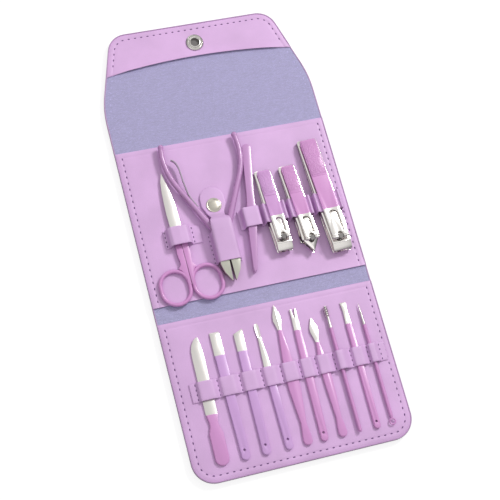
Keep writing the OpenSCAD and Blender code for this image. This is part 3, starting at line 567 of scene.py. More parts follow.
def ribbon(paths, y0, y1, thickness, rolled):
    """A strap that follows the first path in X and Z at y0, and the second at y1."""
    columns = len(paths[0])

    def place(u, v):
        k = np.rint(u * (columns - 1)).astype(int)
        point = paths[0][k] * (1 - v)[:, None] + paths[1][k] * v[:, None]
        edge = np.minimum(v, 1 - v) * (y1 - y0)
        z = point[:, 1] - rolled * fade(edge, EDGE_ROLL) ** 2
        return np.stack([point[:, 0], y0 + (y1 - y0) * v, z], axis=1)

    bm = grid(np.linspace(0, 1, columns), STRAP_ROWS, place)
    return thicken(bm, thickness, 0.2 * MM)


def lay_strap(name, body, node, paths, thickness=STRAP_T, rolled=0.25 * MM):
    """A leather strap in place of a node, with a path for each edge."""
    low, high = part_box(node)
    bm = ribbon(paths, low.y, high.y, thickness, rolled)
    obj = mesh_object(name, bm, bpy.data.materials["smooth_leather"], body, node)


def stitch_line(points, pitch):
    """Places and directions of stitches along a path of X and Y, one every pitch."""
    lengths = distances(points)
    count = max(1, int(round(lengths[-1] / pitch)))
    reach = 0.3 * MM
    found = []
    for k in range(count):
        centre = (k + 0.5) * lengths[-1] / count
        a, b = ([np.interp(centre + d, lengths, values) for values in points.T] for d in (-reach, reach))
        found.append(((a[0] + b[0]) / 2, (a[1] + b[1]) / 2, math.atan2(b[1] - a[1], b[0] - a[0])))
    return found


def stitches(spots, level, length):
    """Small sewn stitches, each a flattened drop of thread lying in its seam."""
    bm = bmesh.new()
    drop = Matrix.Diagonal((length / 2, STITCH_W / 2, STITCH_W * 0.36, 1))
    for x, y, turn in spots:
        shape = Matrix.Translation((x, y, level)) @ Matrix.Rotation(turn, 4, "Z") @ drop
        bmesh.ops.create_uvsphere(bm, u_segments=8, v_segments=6, radius=1, matrix=shape)
    return bm


def spun(profile, centre):
    """A solid turned round a vertical axis, from a profile of radii and heights that starts at its foot."""
    bm = bmesh.new()
    verts = [bm.verts.new((r, 0, z)) for r, z in profile]
    edges = [bm.edges.new(pair) for pair in zip(verts, verts[1:])]
    bmesh.ops.spin(
        bm, geom=verts + edges, cent=(0, 0, 0), axis=(0, 0, 1), angle=2 * math.pi, steps=48,
        use_merge=True)
    bmesh.ops.remove_doubles(bm, verts=bm.verts[:], dist=1e-7)
    bmesh.ops.recalc_face_normals(bm, faces=bm.faces[:])
    bmesh.ops.translate(bm, verts=bm.verts[:], vec=centre)
    return bm


def softened(node, looks, material, angle=32):
    """A merged copy of a node with its sharp edges rounded, which stands for the node."""
    bm = bmesh.new()
    bm.from_mesh(frame["nodes"][node].data)
    bmesh.ops.remove_doubles(bm, verts=bm.verts[:], dist=2e-6)
    bmesh.ops.dissolve_limit(
        bm, angle_limit=math.radians(1.0), verts=bm.verts[:], edges=bm.edges[:],
        use_dissolve_boundaries=False)
    round_edges(bm, looks.edge, looks.segments, angle)
    mesh_object(node + "_finish", bm, material, BODY_OF[node], node)


def dress(node, material):
    """Gives a CAD node its material."""
    obj = frame["nodes"][node]
    obj.data.materials.clear()
    obj.data.materials.append(material)


def reach_along(nodes, axis):
    """Lowest and highest distance of the nodes' points along an axis."""
    axis = np.array(axis)
    found = np.concatenate([
        np.array([v.co for v in frame["nodes"][n].data.vertices]) @ axis for n in nodes])
    return found.min(), found.max()


def flat_axis(joint):
    """A slide's axis, laid level and turned to point up the page."""
    axis = Vector(JOINTS[joint]["axis"])
    axis.z = 0
    axis.normalize()
    return tuple(axis if axis.y > 0 else -axis)


# Lengths of the case's sheets: name, bodies on each side of the fold, place of the fold, and both ends
ZONES = [
    ("lower", "lower_panel", "spine", Y_LOWER, Y_FOOT, MID_SPINE),
    ("spine", "spine", "case", Y_SPINE, MID_SPINE, MID_UPPER),
    ("upper", "case", "bridge", Y_BRIDGE, MID_UPPER, MID_BRIDGE),
    ("flap", "bridge", "flap", Y_FLAP, MID_BRIDGE, Y_END),
]
# The part of each node's name before _cover or _lining, and how far bend() moves the spine's fold off its place
ZONE_NODES = {"lower": ["lower"], "spine": ["spine"], "upper": ["upper", "bridge"], "flap": ["flap"]}
SPINE_OFF = 2.2 * MM


def bend(obj, zone, reach):
    """Bakes a sheet's place into its mesh, without bending it. For the spine the fold is moved off, clear of the
    scissors' rings, but nothing bends there.
    """
    name, a, b, fold, _, _ = zone
    fold -= SPINE_OFF if name == "spine" else 0
    fold - reach
    fold + reach
    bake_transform(obj)


def panel_area(y0, y1, inset):
    """Area of the outline from y0 to y1, drawn in by inset, and at most that of its flat sheet."""
    ys = np.linspace(y0, y1, 400)
    return min(float(np.mean(2 * half_width(ys, inset)) * (y1 - y0)), 2 * HALF_W * (y1 - y0))


def panel_sheet(y0, y1, z, thickness, inset, near, roll, groove, line, free=0.0):
    """A level sheet that fills the outline from y0 to y1.

    near tells which of its two ends are edges. The first one stands up by free if it isn't an edge.
    """

    def place(u, v):
        x = u * half_width(v, inset)
        d = edge_distance(x, v, line)
        if near[0]:
            d = np.minimum(d, v - y0)
        if near[1]:
            d = np.minimum(d, y1 - v)
        sunk = pinched(d, roll, bpy.context.scene.case_looks.seam_in - inset, groove)
        if not near[0]:
            sunk = sunk - free * fade(v - y0, 6 * MM) ** 2
        return np.stack([x, v, z - sunk + ripple(x, v, 0.1 * MM)], axis=1)

    bm = grid(across(), along(y0, y1, near_start=near[0], near_end=near[1]), place)
    return thicken(bm, thickness)


def lay_lengths(kind, material, z, thickness, inset, roll=0.0, groove=0.0):
    """Lays a sheet over the whole case, in four lengths that meet at the folds."""
    looks = bpy.context.scene.case_looks
    line = outline(inset)
    for zone in ZONES:
        name, _, _, _, y0, y1 = zone
        near = (name == "lower", name == "flap")
        start = y0 + inset * near[0]
        end = y1 - inset * near[1]
        bm = panel_sheet(start, end, z, thickness, inset, near, roll, groove, line)
        nodes = [f"{part}_{kind}" for part in ZONE_NODES[name]]
        obj = mesh_object(f"{kind}_{name}", bm, material, node=nodes)
        end - start
        panel_area(start, end, inset)
        bend(obj, zone, looks.fold_reach)


class MANICURE_OT_covers(bpy.types.Operator):
    """Outer cover of synthetic leather, in four lengths that meet at the folds"""

    bl_idname = "manicure.covers"
    bl_label = "Covers"

    def execute(self, context):
        material = leather_material("smooth_leather", context.scene.case_looks.leather)
        lay_lengths("cover", material, Z_COVER + COVER_T, COVER_T, COVER_IN)
        return {"FINISHED"}


class MANICURE_OT_linings(bpy.types.Operator):
    """Woven lining, in four lengths that meet at the folds, and the boards behind it"""

    bl_idname = "manicure.linings"
    bl_label = "Linings"

    def execute(self, context):
        material = weave_material("woven_lining", context.scene.case_looks.weave)
        card = card_material("grey_card")
        dress("upper_board", card)
        dress("lower_board", card)
        lay_lengths(
            "lining", material, Z_FACE, LINING_T, LINING_IN, LINING_ROLL,
            LINING_GROOVE)
        return {"FINISHED"}


def rim_top(y):
    """Height of the turned edge: over the facings and the band, and lower between them."""
    y = np.asarray(y, float)
    top = np.full_like(y, Z_OVER)

    def low(a, b):
        soft = 1.2 * MM
        inside = np.clip((y - a) / soft, 0, 1) * np.clip((b - y) / soft, 0, 1)
        return inside * inside * (3 - 2 * inside)

    side_band = BAND_EDGE + 1.5 * MM
    for a, b in ((Y_LOWER - 0.5 * MM, Y_SPINE + 0.5 * MM), (Y_BARE, side_band)):
        top -= (Z_OVER - Z_FACE - 0.15 * MM) * low(a, b)
    return top


class MANICURE_OT_rims(bpy.types.Operator):
    """Turned edge that runs round the whole case"""

    bl_idname = "manicure.rims"
    bl_label = "Turned edges"

    def execute(self, context):
        looks = context.scene.case_looks
        # The turned edge is the leather darkened to 0.74: partly the cover's own darker edge, partly painted shade
        # on its roll.
        material = leather_material("edge_leather_shaded", shade(looks.leather, 0.74), 0.8)
        half = looks.rim_w / 2
        line = outline(half)
        left = line[::-1] * [-1, 1]
        rings = {
            "lower": [np.concatenate([left[:-1], line])],
            "flap": [np.concatenate([line, left[1:]])],
        }
        for zone in ZONES:
            name, _, _, _, y0, y1 = zone
            for k, part in enumerate(rings.get(name, [line, left])):
                part = spread_evenly(part, 1600)
                inside = part[(part[:, 1] >= y0 - 1e-9) & (part[:, 1] <= y1 + 1e-9)]
                ends = {"lower": [y1], "flap": [y0]}.get(name, [y0, y1])
                bm = self.tube(self.cut(inside, ends), half)
                obj = mesh_object(f"rim_{name}_{k}", bm, material)
                bend(obj, zone, looks.fold_reach)
        return {"FINISHED"}

    @staticmethod
    def cut(path, ends):
        """Ends the path exactly on the seams between the lengths, at the nearest of their places."""
        path = path.copy()
        for end in (0, -1):
            y = path[end, 1]
            path[end, 1] = min(ends, key=lambda seam: abs(y - seam))
        return spread_evenly(path, max(24, int(distances(path)[-1] / (1.6 * MM))))

    @staticmethod
    def tube(path, half):
        """A roll along the path, from the case's underside to the top of the turned edge."""
        sides = 14
        tangent = np.gradient(path, axis=0)
        tangent /= np.linalg.norm(tangent, axis=1)[:, None]
        normal = np.stack([tangent[:, 1], -tangent[:, 0]], axis=1)
        top = rim_top(path[:, 1])

        def place(u, v):
            k = np.rint(u * (len(path) - 1)).astype(int)
            turn = v * 2 * math.pi
            c, s = np.cos(turn), np.sin(turn)
            wide = np.sign(c) * np.abs(c) ** 0.6 * half
            centre, tall = (top[k] + Z_COVER) / 2, (top[k] - Z_COVER) / 2
            high = centre + np.sign(s) * np.abs(s) ** 0.5 * tall
            flat = path[k] + normal[k] * wide[:, None]
            return np.stack([flat[:, 0], flat[:, 1], high], axis=1)

        bm = grid(np.linspace(0, 1, len(path)), np.linspace(0, 1, sides + 1), place)
        bmesh.ops.remove_doubles(bm, verts=bm.verts[:], dist=1e-7)
        bmesh.ops.holes_fill(bm, edges=[e for e in bm.edges if e.is_boundary], sides=0)
        bmesh.ops.recalc_face_normals(bm, faces=bm.faces[:])
        return bm


class MANICURE_OT_overlays(bpy.types.Operator):
    """Smooth facings of the two panels"""

    bl_idname = "manicure.overlays"
    bl_label = "Facings"

    def execute(self, context):
        looks = context.scene.case_looks
        material = bpy.data.materials["smooth_leather"]
        inset = looks.rim_w * FACING_OFF
        line = outline(inset)
        for node, body, y0, y1 in (
                ("lower_overlay", "lower_panel", Y_FOOT + inset, Y_LOWER - FACING_IN),
                ("upper_overlay", "case", Y_SPINE + FACING_IN, Y_BARE)):
            near = (node == "lower_overlay", True)
            bm = panel_sheet(
                y0, y1, Z_OVER, OVERLAY_T, inset, near, FACING_ROLL, FACING_GROOVE, line, FACING_FREE)
            obj = mesh_object(node.replace("overlay", "facing"), bm, material, body, node)
            y1 - y0
            panel_area(y0, y1, inset)
        return {"FINISHED"}


class MANICURE_OT_band(bpy.types.Operator):
    """Smooth band inside the flap, with its hanging edge standing off the lining"""

    bl_idname = "manicure.band"
    bl_label = "Flap band"

    def execute(self, context):
        looks = context.scene.case_looks
        material = bpy.data.materials["smooth_leather"]
        inset = looks.rim_w * FACING_OFF
        line = outline(inset)
        bow_half = HALF_W - 8 * MM
        bow = (bow_half**2 + BAND_SAG**2) / (2 * BAND_SAG)
        middle_edge = BAND_EDGE + BAND_SAG
        socket = Vector((0, middle("flap_socket")[1], 0))

        def free_edge(x):
            return middle_edge - bow + np.sqrt(bow * bow - np.minimum(np.abs(x), bow_half) ** 2)

        def place(u, v):
            y = BAND_EDGE + (Y_END - inset - BAND_EDGE) * v
            for _ in range(12):
                x = u * half_width(y, inset)
                edge = free_edge(x)
                y = edge + (Y_END - inset - edge) * v
            x = u * half_width(y, inset)
            d = edge_distance(x, y, line)
            fall = pinched(d, FACING_ROLL, looks.seam_in - inset, FACING_GROOVE)
            free = y - free_edge(x)
            lift = 1.1 * MM * fade(free, 7 * MM) ** 2 * np.clip((d - 5 * MM) / (9 * MM), 0, 1)
            droop = 0.35 * MM * fade(free, EDGE_ROLL) ** 2
            r = np.hypot(x, y - socket.y)
            dimple = 0.25 * MM * np.exp(-(((r - 6.6 * MM) / (1.2 * MM)) ** 2))
            z = Z_OVER - fall + lift - droop - dimple + ripple(x, y, 0.08 * MM)
            return np.stack([x, y, z], axis=1)

        depth = 25.8 * MM
        bm = grid(across(46), along(0, depth, 2.2 * MM) / depth, place)
        self.pierce(bm, socket, BAND_HOLE)
        thicken(bm, OVERLAY_T * 0.8)
        obj = mesh_object("flap_facing", bm, material, "flap", "flap_band")
        width = 2 * float(half_width(middle_edge))
        return {"FINISHED"}

    @staticmethod
    def pierce(bm, centre, r):
        """Opens a round hole: the faces in it go, and the points left at its edge move to its circle."""
        lost = [f for f in bm.faces if (f.calc_center_median().xy - centre.xy).length < r]
        touched = {v for f in lost for v in f.verts}
        bmesh.ops.delete(bm, geom=lost, context="FACES")
        for vert in touched:
            if vert.is_valid:
                vert.co.xy = centre.xy + (vert.co.xy - centre.xy).normalized() * r


class MANICURE_OT_row_strap(bpy.types.Operator):
    """Strap sewn down into ten pockets over the small tools"""

    bl_idname = "manicure.row_strap"
    bl_label = "Strap of the small tools"

    def execute(self, context):
        low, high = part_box("lower_strap")
        base = Z_OVER + STRAP_T
        root, shoulder, slack = 0.8 * MM, 1.0 * MM, 0.3 * MM
        pieces = [rounded([[low.x, base - STRAP_TUCK], [ROW_LEFT, base]], 8, 0)]
        seam = ROW_LEFT
        for tool, (width, _) in SMALL_TOOLS.items():
            foot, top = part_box(tool)
            x0, x1 = self.under(tool, low.y, high.y)
            z = (foot.z + NEEDLE_T if tool == "needle" else top.z) + slack + STRAP_T
            end = seam + width * MM
            path = [[seam, base], [seam + root, base + 0.15 * MM], [x0 - shoulder, z],
                    [x1 + shoulder, z], [end - root, base + 0.15 * MM], [end, base]]
            pieces.append(rounded(path, 34, 10)[1:])
            seam = end
        pieces.append(rounded([[seam, base], [high.x, base - STRAP_TUCK]], 8, 0)[1:])
        path = np.concatenate(pieces)
        lay_strap("row_strap", "lower_panel", "lower_strap", [path, path])
        return {"FINISHED"}

    @staticmethod
    def under(tool, y0, y1):
        """Side limits of a tool where it passes under the strap."""
        mesh = frame["nodes"][tool].data
        centre = (y0 + y1) / 2
        crossings = []
        for edge in mesh.edges:
            a, b = (mesh.vertices[i].co for i in edge.vertices)
            if (a.y - centre) * (b.y - centre) < 0:
                t = (centre - a.y) / (b.y - a.y)
                crossings.append(a.x + t * (b.x - a.x))
        return min(crossings), max(crossings)


class MANICURE_OT_tool_strap(bpy.types.Operator):
    """Strap over the tweezers and the three clippers, with its folds standing beside their levers"""

    bl_idname = "manicure.tool_strap"
    bl_label = "Strap of the clippers"

    def execute(self, context):
        low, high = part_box("tool_strap")
        base = Z_OVER + STRAP_T
        root = [(1.3 * MM, 0), (0.5 * MM, 0.5 * MM)]
        humps = self.humps(low, high)
        paths = []
        for end in (0, 1):
            path = [[low.x, base - STRAP_TUCK]]
            for k, (x0, x1, *tops) in enumerate(humps):
                roof, fold = tops[end]
                left = [[x0 - aside, base + rise] for aside, rise in root]
                if k == 0:
                    left += self.arch(x0, roof)
                else:
                    left += self.fold(x0, base, roof, fold, self.lever_gap(k, x0))
                path += left + [[x0 + x1 - x, z] for x, z in left[::-1]]
            path.append([high.x, base - STRAP_TUCK])
            paths.append(rounded(path, 620, 8))
        lay_strap("clipper_strap", "case", "tool_strap", paths, thickness=STRAP_T * 0.5)
        return {"FINISHED"}

    @staticmethod
    def arch(x0, roof):
        """Left half of the plain hump over the tweezers."""
        return [
            [x0 - 0.1 * MM, roof - 1.6 * MM], [x0 + 0.5 * MM, roof - 0.4 * MM], [x0 + 1.6 * MM, roof]]

    @staticmethod
    def fold(x0, base, roof, fold, gap):
        """Left half of a clipper's hump: up over the fold beside its lever, and down to the roof."""
        wide = min(1.9 * MM, gap)
        return [
            [x0 - 0.2 * MM, base + 1.6 * MM], [x0 - 0.15 * MM, fold - 1.0 * MM],
            [x0 + 0.15 * wide, fold - 0.1 * MM], [x0 + 0.5 * wide, fold + 0.1 * MM],
            [x0 + 0.85 * wide, fold - 0.1 * MM], [x0 + wide, roof + 0.5 * MM],
            [x0 + wide + 0.5 * MM, roof]]

    @staticmethod
    def lever_gap(hump, x0):
        """Room from a hump's side to the side of its lever."""
        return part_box(CLIPPERS[hump - 1] + "_lever")[0].x - x0 - 0.3 * MM

    @staticmethod
    def humps(low, high):
        """Sides of each hump, and the heights of its roof and its folds at the strap's two edges."""
        points = np.array([v.co for v in frame["nodes"]["tool_strap"].data.vertices])
        tops = points[points[:, 2] > Z_OVER + 1.5 * STRAP_T]
        edges = np.unique(np.round(tops[:, 0], 6))
        wide = np.where(np.diff(edges) > 1.6 * MM)[0]
        walls = [(part[0], part[-1]) for part in np.split(edges, wide + 1)]
        found = []
        for left, right in zip(walls[::2], walls[1::2]):
            inside = tops[(tops[:, 0] >= left[0] - 1e-6) & (tops[:, 0] <= right[1] + 1e-6)]
            levels = []
            for near in (inside[:, 1] < low.y + 1e-5, inside[:, 1] > high.y - 1e-5):
                heights = np.unique(np.round(inside[near][:, 2], 5))
                fold = heights[-1]
                roof = heights[heights < fold - 0.5 * MM][-1] if len(found) else fold
                levels.append((roof, fold))
            found.append((left[0], right[1], *levels))
        if len(found) != 4:
            raise RuntimeError(f"the strap over the clippers has {len(found)} humps in place of 4")
        return found


class MANICURE_OT_scissors_loop(bpy.types.Operator):
    """Loop over the scissors' joint"""

    bl_idname = "manicure.scissors_loop"
    bl_label = "Loop of the scissors"

    def execute(self, context):
        low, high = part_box("scissors_loop")
        base = Z_OVER + STRAP_T
        room, crown, top = 8.1 * MM, 5.2 * MM, high.z
        half = [(room + 0.6 * MM, base), (room, base + 0.6 * MM), (room - 0.7 * MM, top - 2 * MM),
                (crown, top - 0.35 * MM), (0, top)]
        path = hump_path(middle("scissors_screw")[0], half, (low.x, high.x), base - STRAP_TUCK)
        path = rounded(path, 150, 10)
        lay_strap("scissors_band", "case", "scissors_loop", [path, path])
        return {"FINISHED"}


class MANICURE_OT_holster(bpy.types.Operator):
    """Holster of the nipper: its convex sleeve and the tongue that snaps between the handles"""

    bl_idname = "manicure.holster"
    bl_label = "Holster"

    def execute(self, context):
        self.tongue(self.sleeve())
        return {"FINISHED"}

    def sleeve(self):
        """Makes the sleeve. Returns its upper edge: distances from the middle, drops from the top, and top."""
        low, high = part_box("holster_sleeve")
        x = middle("holster_sleeve")[0]
        points = np.array([v.co for v in frame["nodes"]["holster_sleeve"].data.vertices])
        base = Z_OVER + STRAP_T
        wall = 8.2 * MM
        paths = []
        for y in (low.y, high.y):
            z = points[np.abs(points[:, 1] - y) < 1e-5][:, 2].max()
            half = [(wall + 0.2 * MM, base), (wall, base + 0.6 * MM), (wall - 0.15 * MM, z - 1.6 * MM),
                    (wall - 1.6 * MM, z - 0.2 * MM), (0, z)]
            paths.append(rounded(hump_path(x, half, (low.x, high.x), base - 0.2 * MM), 150, 26))
        lay_strap("nipper_sleeve", "case", "holster_sleeve", paths, rolled=0)
        crown = paths[1][paths[1][:, 0] >= x]
        return crown[:, 0] - x, crown[0, 1] - crown[:, 1], crown[0, 1]

    def tongue(self, crown):
        """The tongue goes on from the sleeve's upper edge, the crown, and down between the handles."""
        material = bpy.data.materials["smooth_leather"]
        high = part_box("holster_tongue")[1]
        x = middle("holster_tongue")[0]
        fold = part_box("holster_sleeve")[1].y + 0.2 * MM
        flat_z = Z_OVER + 0.7 * MM + STRAP_T
        aside, drop, level = crown
        level += 0.03 * MM
        steps = 90
        route = [
            [fold - 0.4 * MM, level], [fold + 7 * MM, level], [fold + 13.9 * MM, flat_z], [high.y, flat_z]]
        route = rounded(route, steps, 24)
        at = [fold + a * MM for a, _ in TONGUE]
        half = [b * MM for _, b in TONGUE]
        end_r = half[-1]
        middle_y = high.y - end_r

        def place(u, v):
            k = np.rint(v * (steps - 1)).astype(int)
            y, z = route[k, 0], route[k, 1]
            w = np.interp(y, at, half)
            tip = np.sqrt(np.maximum(end_r**2 - (y - middle_y) ** 2, (0.3 * MM) ** 2))
            w = np.where(y > middle_y, tip, w)
            near = fade(y - fold, 10 * MM)
            bow = np.interp(np.abs(u) * w, aside, drop) * near + 0.3 * MM * u * u * (1 - near)
            return np.stack([x + u * w, y, z - bow], axis=1)

        bm = grid(np.linspace(-1, 1, 15), np.linspace(0, 1, steps), place)
        thicken(bm, STRAP_T, 0.2 * MM)
        obj = mesh_object("nipper_tongue", bm, material, "tongue", "holster_tongue")


class MANICURE_OT_press_studs(bpy.types.Operator):
    """Press studs of the flap and the holster"""

    bl_idname = "manicure.press_studs"
    bl_label = "Press studs"

    def execute(self, context):
        steel = steel_material("polished_steel", context.scene.tool_looks.steel, 0.2)
        for node in ("holster_stud", "lower_stud"):
            dress(node, steel)
        dull = steel_material("brass_cap", (0.56, 0.53, 0.46), 0.33)
        # Near-black steel used as painted shade: in the socket's bore and on the clippers' pins.
        shade_steel = steel_material("painted_shade_steel", (0.16, 0.15, 0.15), 0.4)
        self.add("snap_cap", "holster_cap", "tongue", dull, self.dome)
        self.add("snap_socket", "flap_socket", "flap", steel, self.socket)
        self.add_shade_well(shade_steel)
        self.add("snap_button", "flap_cap", "flap", steel, self.outer_cap)
        return {"FINISHED"}

    @staticmethod
    def add(name, node, body, material, profile):
        """A turned piece in place of a node, with a profile made from its radius, its foot and its top."""
        low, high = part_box(node)
        solid = spun(profile((high.x - low.x) / 2, low.z, high.z), (*middle(node), 0))
        mesh_object(name, solid, material, body, node)

    @staticmethod
    def add_shade_well(material):
        """Dark disc just over the outer cap, at the floor of the socket: painted shade in its bore."""
        floor = max(Z_FACE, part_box("flap_cap")[1].z) + 0.02 * MM
        r, top = STUD_BORE + 0.4 * MM, floor + 0.1 * MM
        solid = spun([(0, floor), (r, floor), (r, top), (0, top)], (*middle("flap_socket"), 0))
        mesh_object("snap_bore_shade", solid, material, "flap")

    @staticmethod
    def dome(r, foot, top):
        """Cap on the holster's tongue: a ring round a low dome."""
        rim = top - 1.05 * MM
        ring = [(0.94, 0), (1, 0.12), (1, 0.3), (0.97, 0.46), (0.90, 0.5), (0.87, 0.42), (0.83, 0.42),
                (0.78, 0.6), (0.6, 0.86)]
        return [(0.0, foot), (r * 0.55, foot), (r * 0.55, rim),
                *((r * share, rim + rise * MM) for share, rise in ring),
                (r * 0.35, top - 0.04 * MM), (0.0, top)]

    @staticmethod
    def socket(r, foot, top):
        """Socket in the flap: a stepped ring round its bore."""
        outside = [(0.95, 0), (1, 0.15), (1, 0.5)]
        ring = [(0.95, 0.2), (0.88, 0.05), (0.83, 0.2), (0.79, 0.55), (0.70, 0.55), (0.66, 0.15), (0.6, 0)]
        wall = STUD_BORE + 0.7 * MM
        return [(STUD_BORE, foot), (wall, foot), (wall, Z_OVER),
                *((r * share, Z_OVER + rise * MM) for share, rise in outside),
                *((r * share, top - drop * MM) for share, drop in ring),
                (STUD_BORE + 0.25 * MM, top), (STUD_BORE, top - 0.25 * MM), (STUD_BORE, foot)]

    @staticmethod
    def outer_cap(r, foot, top):
        """Cap on the outside of the flap, with its stem."""
        bowl = [(0, 0), (0.4, 0.02), (0.72, 0.16), (0.9, 0.34), (1, 0.6), (1, 1.0)]
        return [*((r * share, foot + rise * MM) for share, rise in bowl), (r * 0.94, Z_COVER),
                (STEM_R, Z_COVER), (STEM_R, top), (0.0, top)]


class MANICURE_OT_seams(bpy.types.Operator):
    """Sewn lines round the panels and the stitches that hold the straps"""

    bl_idname = "manicure.seams"
    bl_label = "Seams"

    def execute(self, context):
        looks = context.scene.case_looks
        thread = thread_material("thread", looks.thread)
        pale = thread_material("lining_thread", shade(looks.weave, 1.25))
        right = spread_evenly(outline(looks.seam_in), 2400)
        left = right[::-1] * [-1, 1]
        band_start = BAND_EDGE + 5.5 * MM
        stop = 2 * MM
        lines = [
            ("seam_lower", np.concatenate([left, right]), Y_FOOT, Y_LOWER - 2.5 * MM, Z_OVER, "lower_panel"),
            ("seam_flap", np.concatenate([right, left]), band_start, Y_END, Z_OVER, "flap"),
        ]
        for side, edge in (("left", left), ("right", right)):
            lines += [
                ("seam_upper_" + side, edge, Y_SPINE + stop, Y_BARE - stop, Z_OVER, "case"),
                ("seam_bare_" + side, edge, Y_FLAP + 6 * MM, band_start - stop, Z_FACE, "flap"),
            ]
        for name, path, y0, y1, level, body in lines:
            path = path[(path[:, 1] > y0) & (path[:, 1] < y1)]
            spots = stitch_line(path, looks.pitch)
            material = thread if level == Z_OVER else pale
            self.sew(name, spots, level - 0.08 * MM, looks.pitch * 0.38, material, body)
        self.strap_seams(thread)
        return {"FINISHED"}

    @staticmethod
    def sew(name, spots, level, length, material, body):
        mesh_object(name, stitches(spots, level, length), material, body)

    def strap_seams(self, thread):
        """Seams between the pockets of the lower strap, and at the sides of the loop and the sleeve."""
        level = Z_OVER + STRAP_T + 0.02 * MM
        ends = ROW_LEFT + np.cumsum([0] + [width * MM for width, _ in SMALL_TOOLS.values()])
        spots = self.columns("lower_strap", ends, 4)
        self.sew("seam_row_strap", spots, level, SHORT_STITCH, thread, "lower_panel")
        x = middle("scissors_screw")[0]
        spots = self.columns("scissors_loop", (x - 9.2 * MM, x + 9.6 * MM), 4)
        low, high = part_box("holster_sleeve")
        spots += self.columns("holster_sleeve", (low.x + SLEEVE_SEAM, high.x - SLEEVE_SEAM), 7)
        self.sew("seam_loops", spots, level, SHORT_STITCH, thread, "case")

    @staticmethod
    def columns(node, places, count):
        """Stitches one above the other at each of the places across a node."""
        low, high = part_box(node)
        step = (high.y - low.y) / count
        return [(x, low.y + (k + 0.5) * step, math.pi / 2) for x in places for k in range(count)]


class MANICURE_OT_small_tools(bpy.types.Operator):
    """The ten small tools in the lower strap"""

    bl_idname = "manicure.small_tools"
    bl_label = "Small tools"

    def execute(self, context):
        looks = context.scene.tool_looks
        for tool, (_, height) in SMALL_TOOLS.items():
            axis = flat_axis(tool + "_slide")
            foot, _ = reach_along([tool], axis)
            violet = tool in VIOLET_TOOLS
            paint = looks.violet if violet else looks.pink
            painted = (-MM, height * MM)
            material = painted_material(tool + "_finish", paint, looks.steel, axis, foot, painted)
            if tool in ("needle", "ear_spiral"):
                dress(tool, material)
            else:
                softened(tool, looks, material)
        return {"FINISHED"}


class MANICURE_OT_scissors(bpy.types.Operator):
    """Scissors with painted rings and bare blades"""

    bl_idname = "manicure.scissors"
    bl_label = "Scissors"

    def execute(self, context):
        looks = context.scene.tool_looks
        axis = flat_axis("scissors_slide")
        foot, _ = reach_along(["scissors_ring_right"], axis)
        pivot = Vector((*middle("scissors_screw"), 0)).dot(Vector(axis))
        painted = (-MM, pivot - foot + SCISSORS_PAINT)
        material = painted_material("scissors_finish", looks.pink, looks.steel, axis, foot, painted, 0.26)
        for node in ("scissors_ring_left", "scissors_ring_right"):
            softened(node, looks, material)
        dress("scissors_screw", bpy.data.materials["polished_steel"])
        return {"FINISHED"}


class MANICURE_OT_nipper(bpy.types.Operator):
    """Cuticle nipper with painted handles and bare jaws"""

    bl_idname = "manicure.nipper"
    bl_label = "Nipper"

    def execute(self, context):
        looks = context.scene.tool_looks
        axis = flat_axis("nipper_slide")
        foot, top = reach_along(["nipper_right"], axis)
        painted = (NIPPER_PAINT, top - foot + MM)
        jaw_steel = (0.60, 0.60, 0.52)
        material = painted_material("nipper_finish", looks.dusky, jaw_steel, axis, foot, painted, 0.24)
        for node in ("nipper_left", "nipper_right"):
            softened(node, looks, material, 40)
        dress("nipper_rivet", bpy.data.materials["polished_steel"])
        # The spring is grey steel darkened to 0.42: its own grey, and painted shade on its edge, which is seen in
        # shadow from above.
        dress("nipper_spring", steel_material("spring_steel", (0.42, 0.41, 0.42), 0.3))
        return {"FINISHED"}


class MANICURE_OT_tweezers(bpy.types.Operator):
    """Slanted tweezers"""

    bl_idname = "manicure.tweezers"
    bl_label = "Tweezers"

    def execute(self, context):
        looks = context.scene.tool_looks
        halves = ["tweezers_base", "tweezers_arm"]
        axis = flat_axis("tweezers_slide")
        foot, top = reach_along(halves, axis)
        painted = (-MM, top - foot + MM)
        material = painted_material("tweezers_finish", looks.dusky, looks.steel, axis, foot, painted, 0.26)
        for node in halves:
            softened(node, looks, material)
        return {"FINISHED"}


class MANICURE_OT_clippers(bpy.types.Operator):
    """The three nail clippers, with chromed leaves and painted levers"""

    bl_idname = "manicure.clippers"
    bl_label = "Nail clippers"

    def execute(self, context):
        looks = context.scene.tool_looks
        shade_steel = bpy.data.materials["painted_shade_steel"]
        bright = shade(looks.steel, 1.28)
        brushed = (30.0, 500.0, 30.0)
        # Chrome of the bases and the leaves, the same but for painted shade on their upright sides: 0.1 of the
        # colour on the bases, 0.3 on the leaves.
        chrome_side_shade = {
            "base": steel_material("chrome_base", bright, 0.12, brushed, 0.1),
            "leaf": steel_material("chrome", bright, 0.12, brushed, 0.3),
        }
        mixed = [(a + b) / 2 for a, b in zip(looks.pink, looks.violet)]
        for clipper in CLIPPERS:
            axis = flat_axis(clipper + "_slide")
            for part in ("base", "leaf"):
                softened(f"{clipper}_{part}", looks, chrome_side_shade[part])
            dress(clipper + "_rivet", chrome_side_shade["leaf"])
            # The pin is in the near-black steel: painted shade in the gap round the lever's hook.
            dress(clipper + "_pin", shade_steel)
            foot, top = reach_along([clipper + "_lever"], axis)
            pin, _ = reach_along([clipper + "_pin"], axis)
            bottom, tail = reach_along([clipper + "_base"], axis)
            bare = (tail - bottom) * 0.36 - (9 if clipper == "clipper_large" else 5.5) * MM
            start = pin + 2.7 * MM - foot + bare
            grip = (start + 0.49 * (top - foot - start), top - foot - 1.3 * MM)
            paint = mixed if clipper == "clipper_small" else looks.pink
            painted = (start, top - foot + MM)
            material = painted_material(
                clipper + "_lever_finish", paint, looks.steel, axis, foot, painted, 0.36, grip)
            softened(clipper + "_lever", looks, material)
        return {"FINISHED"}


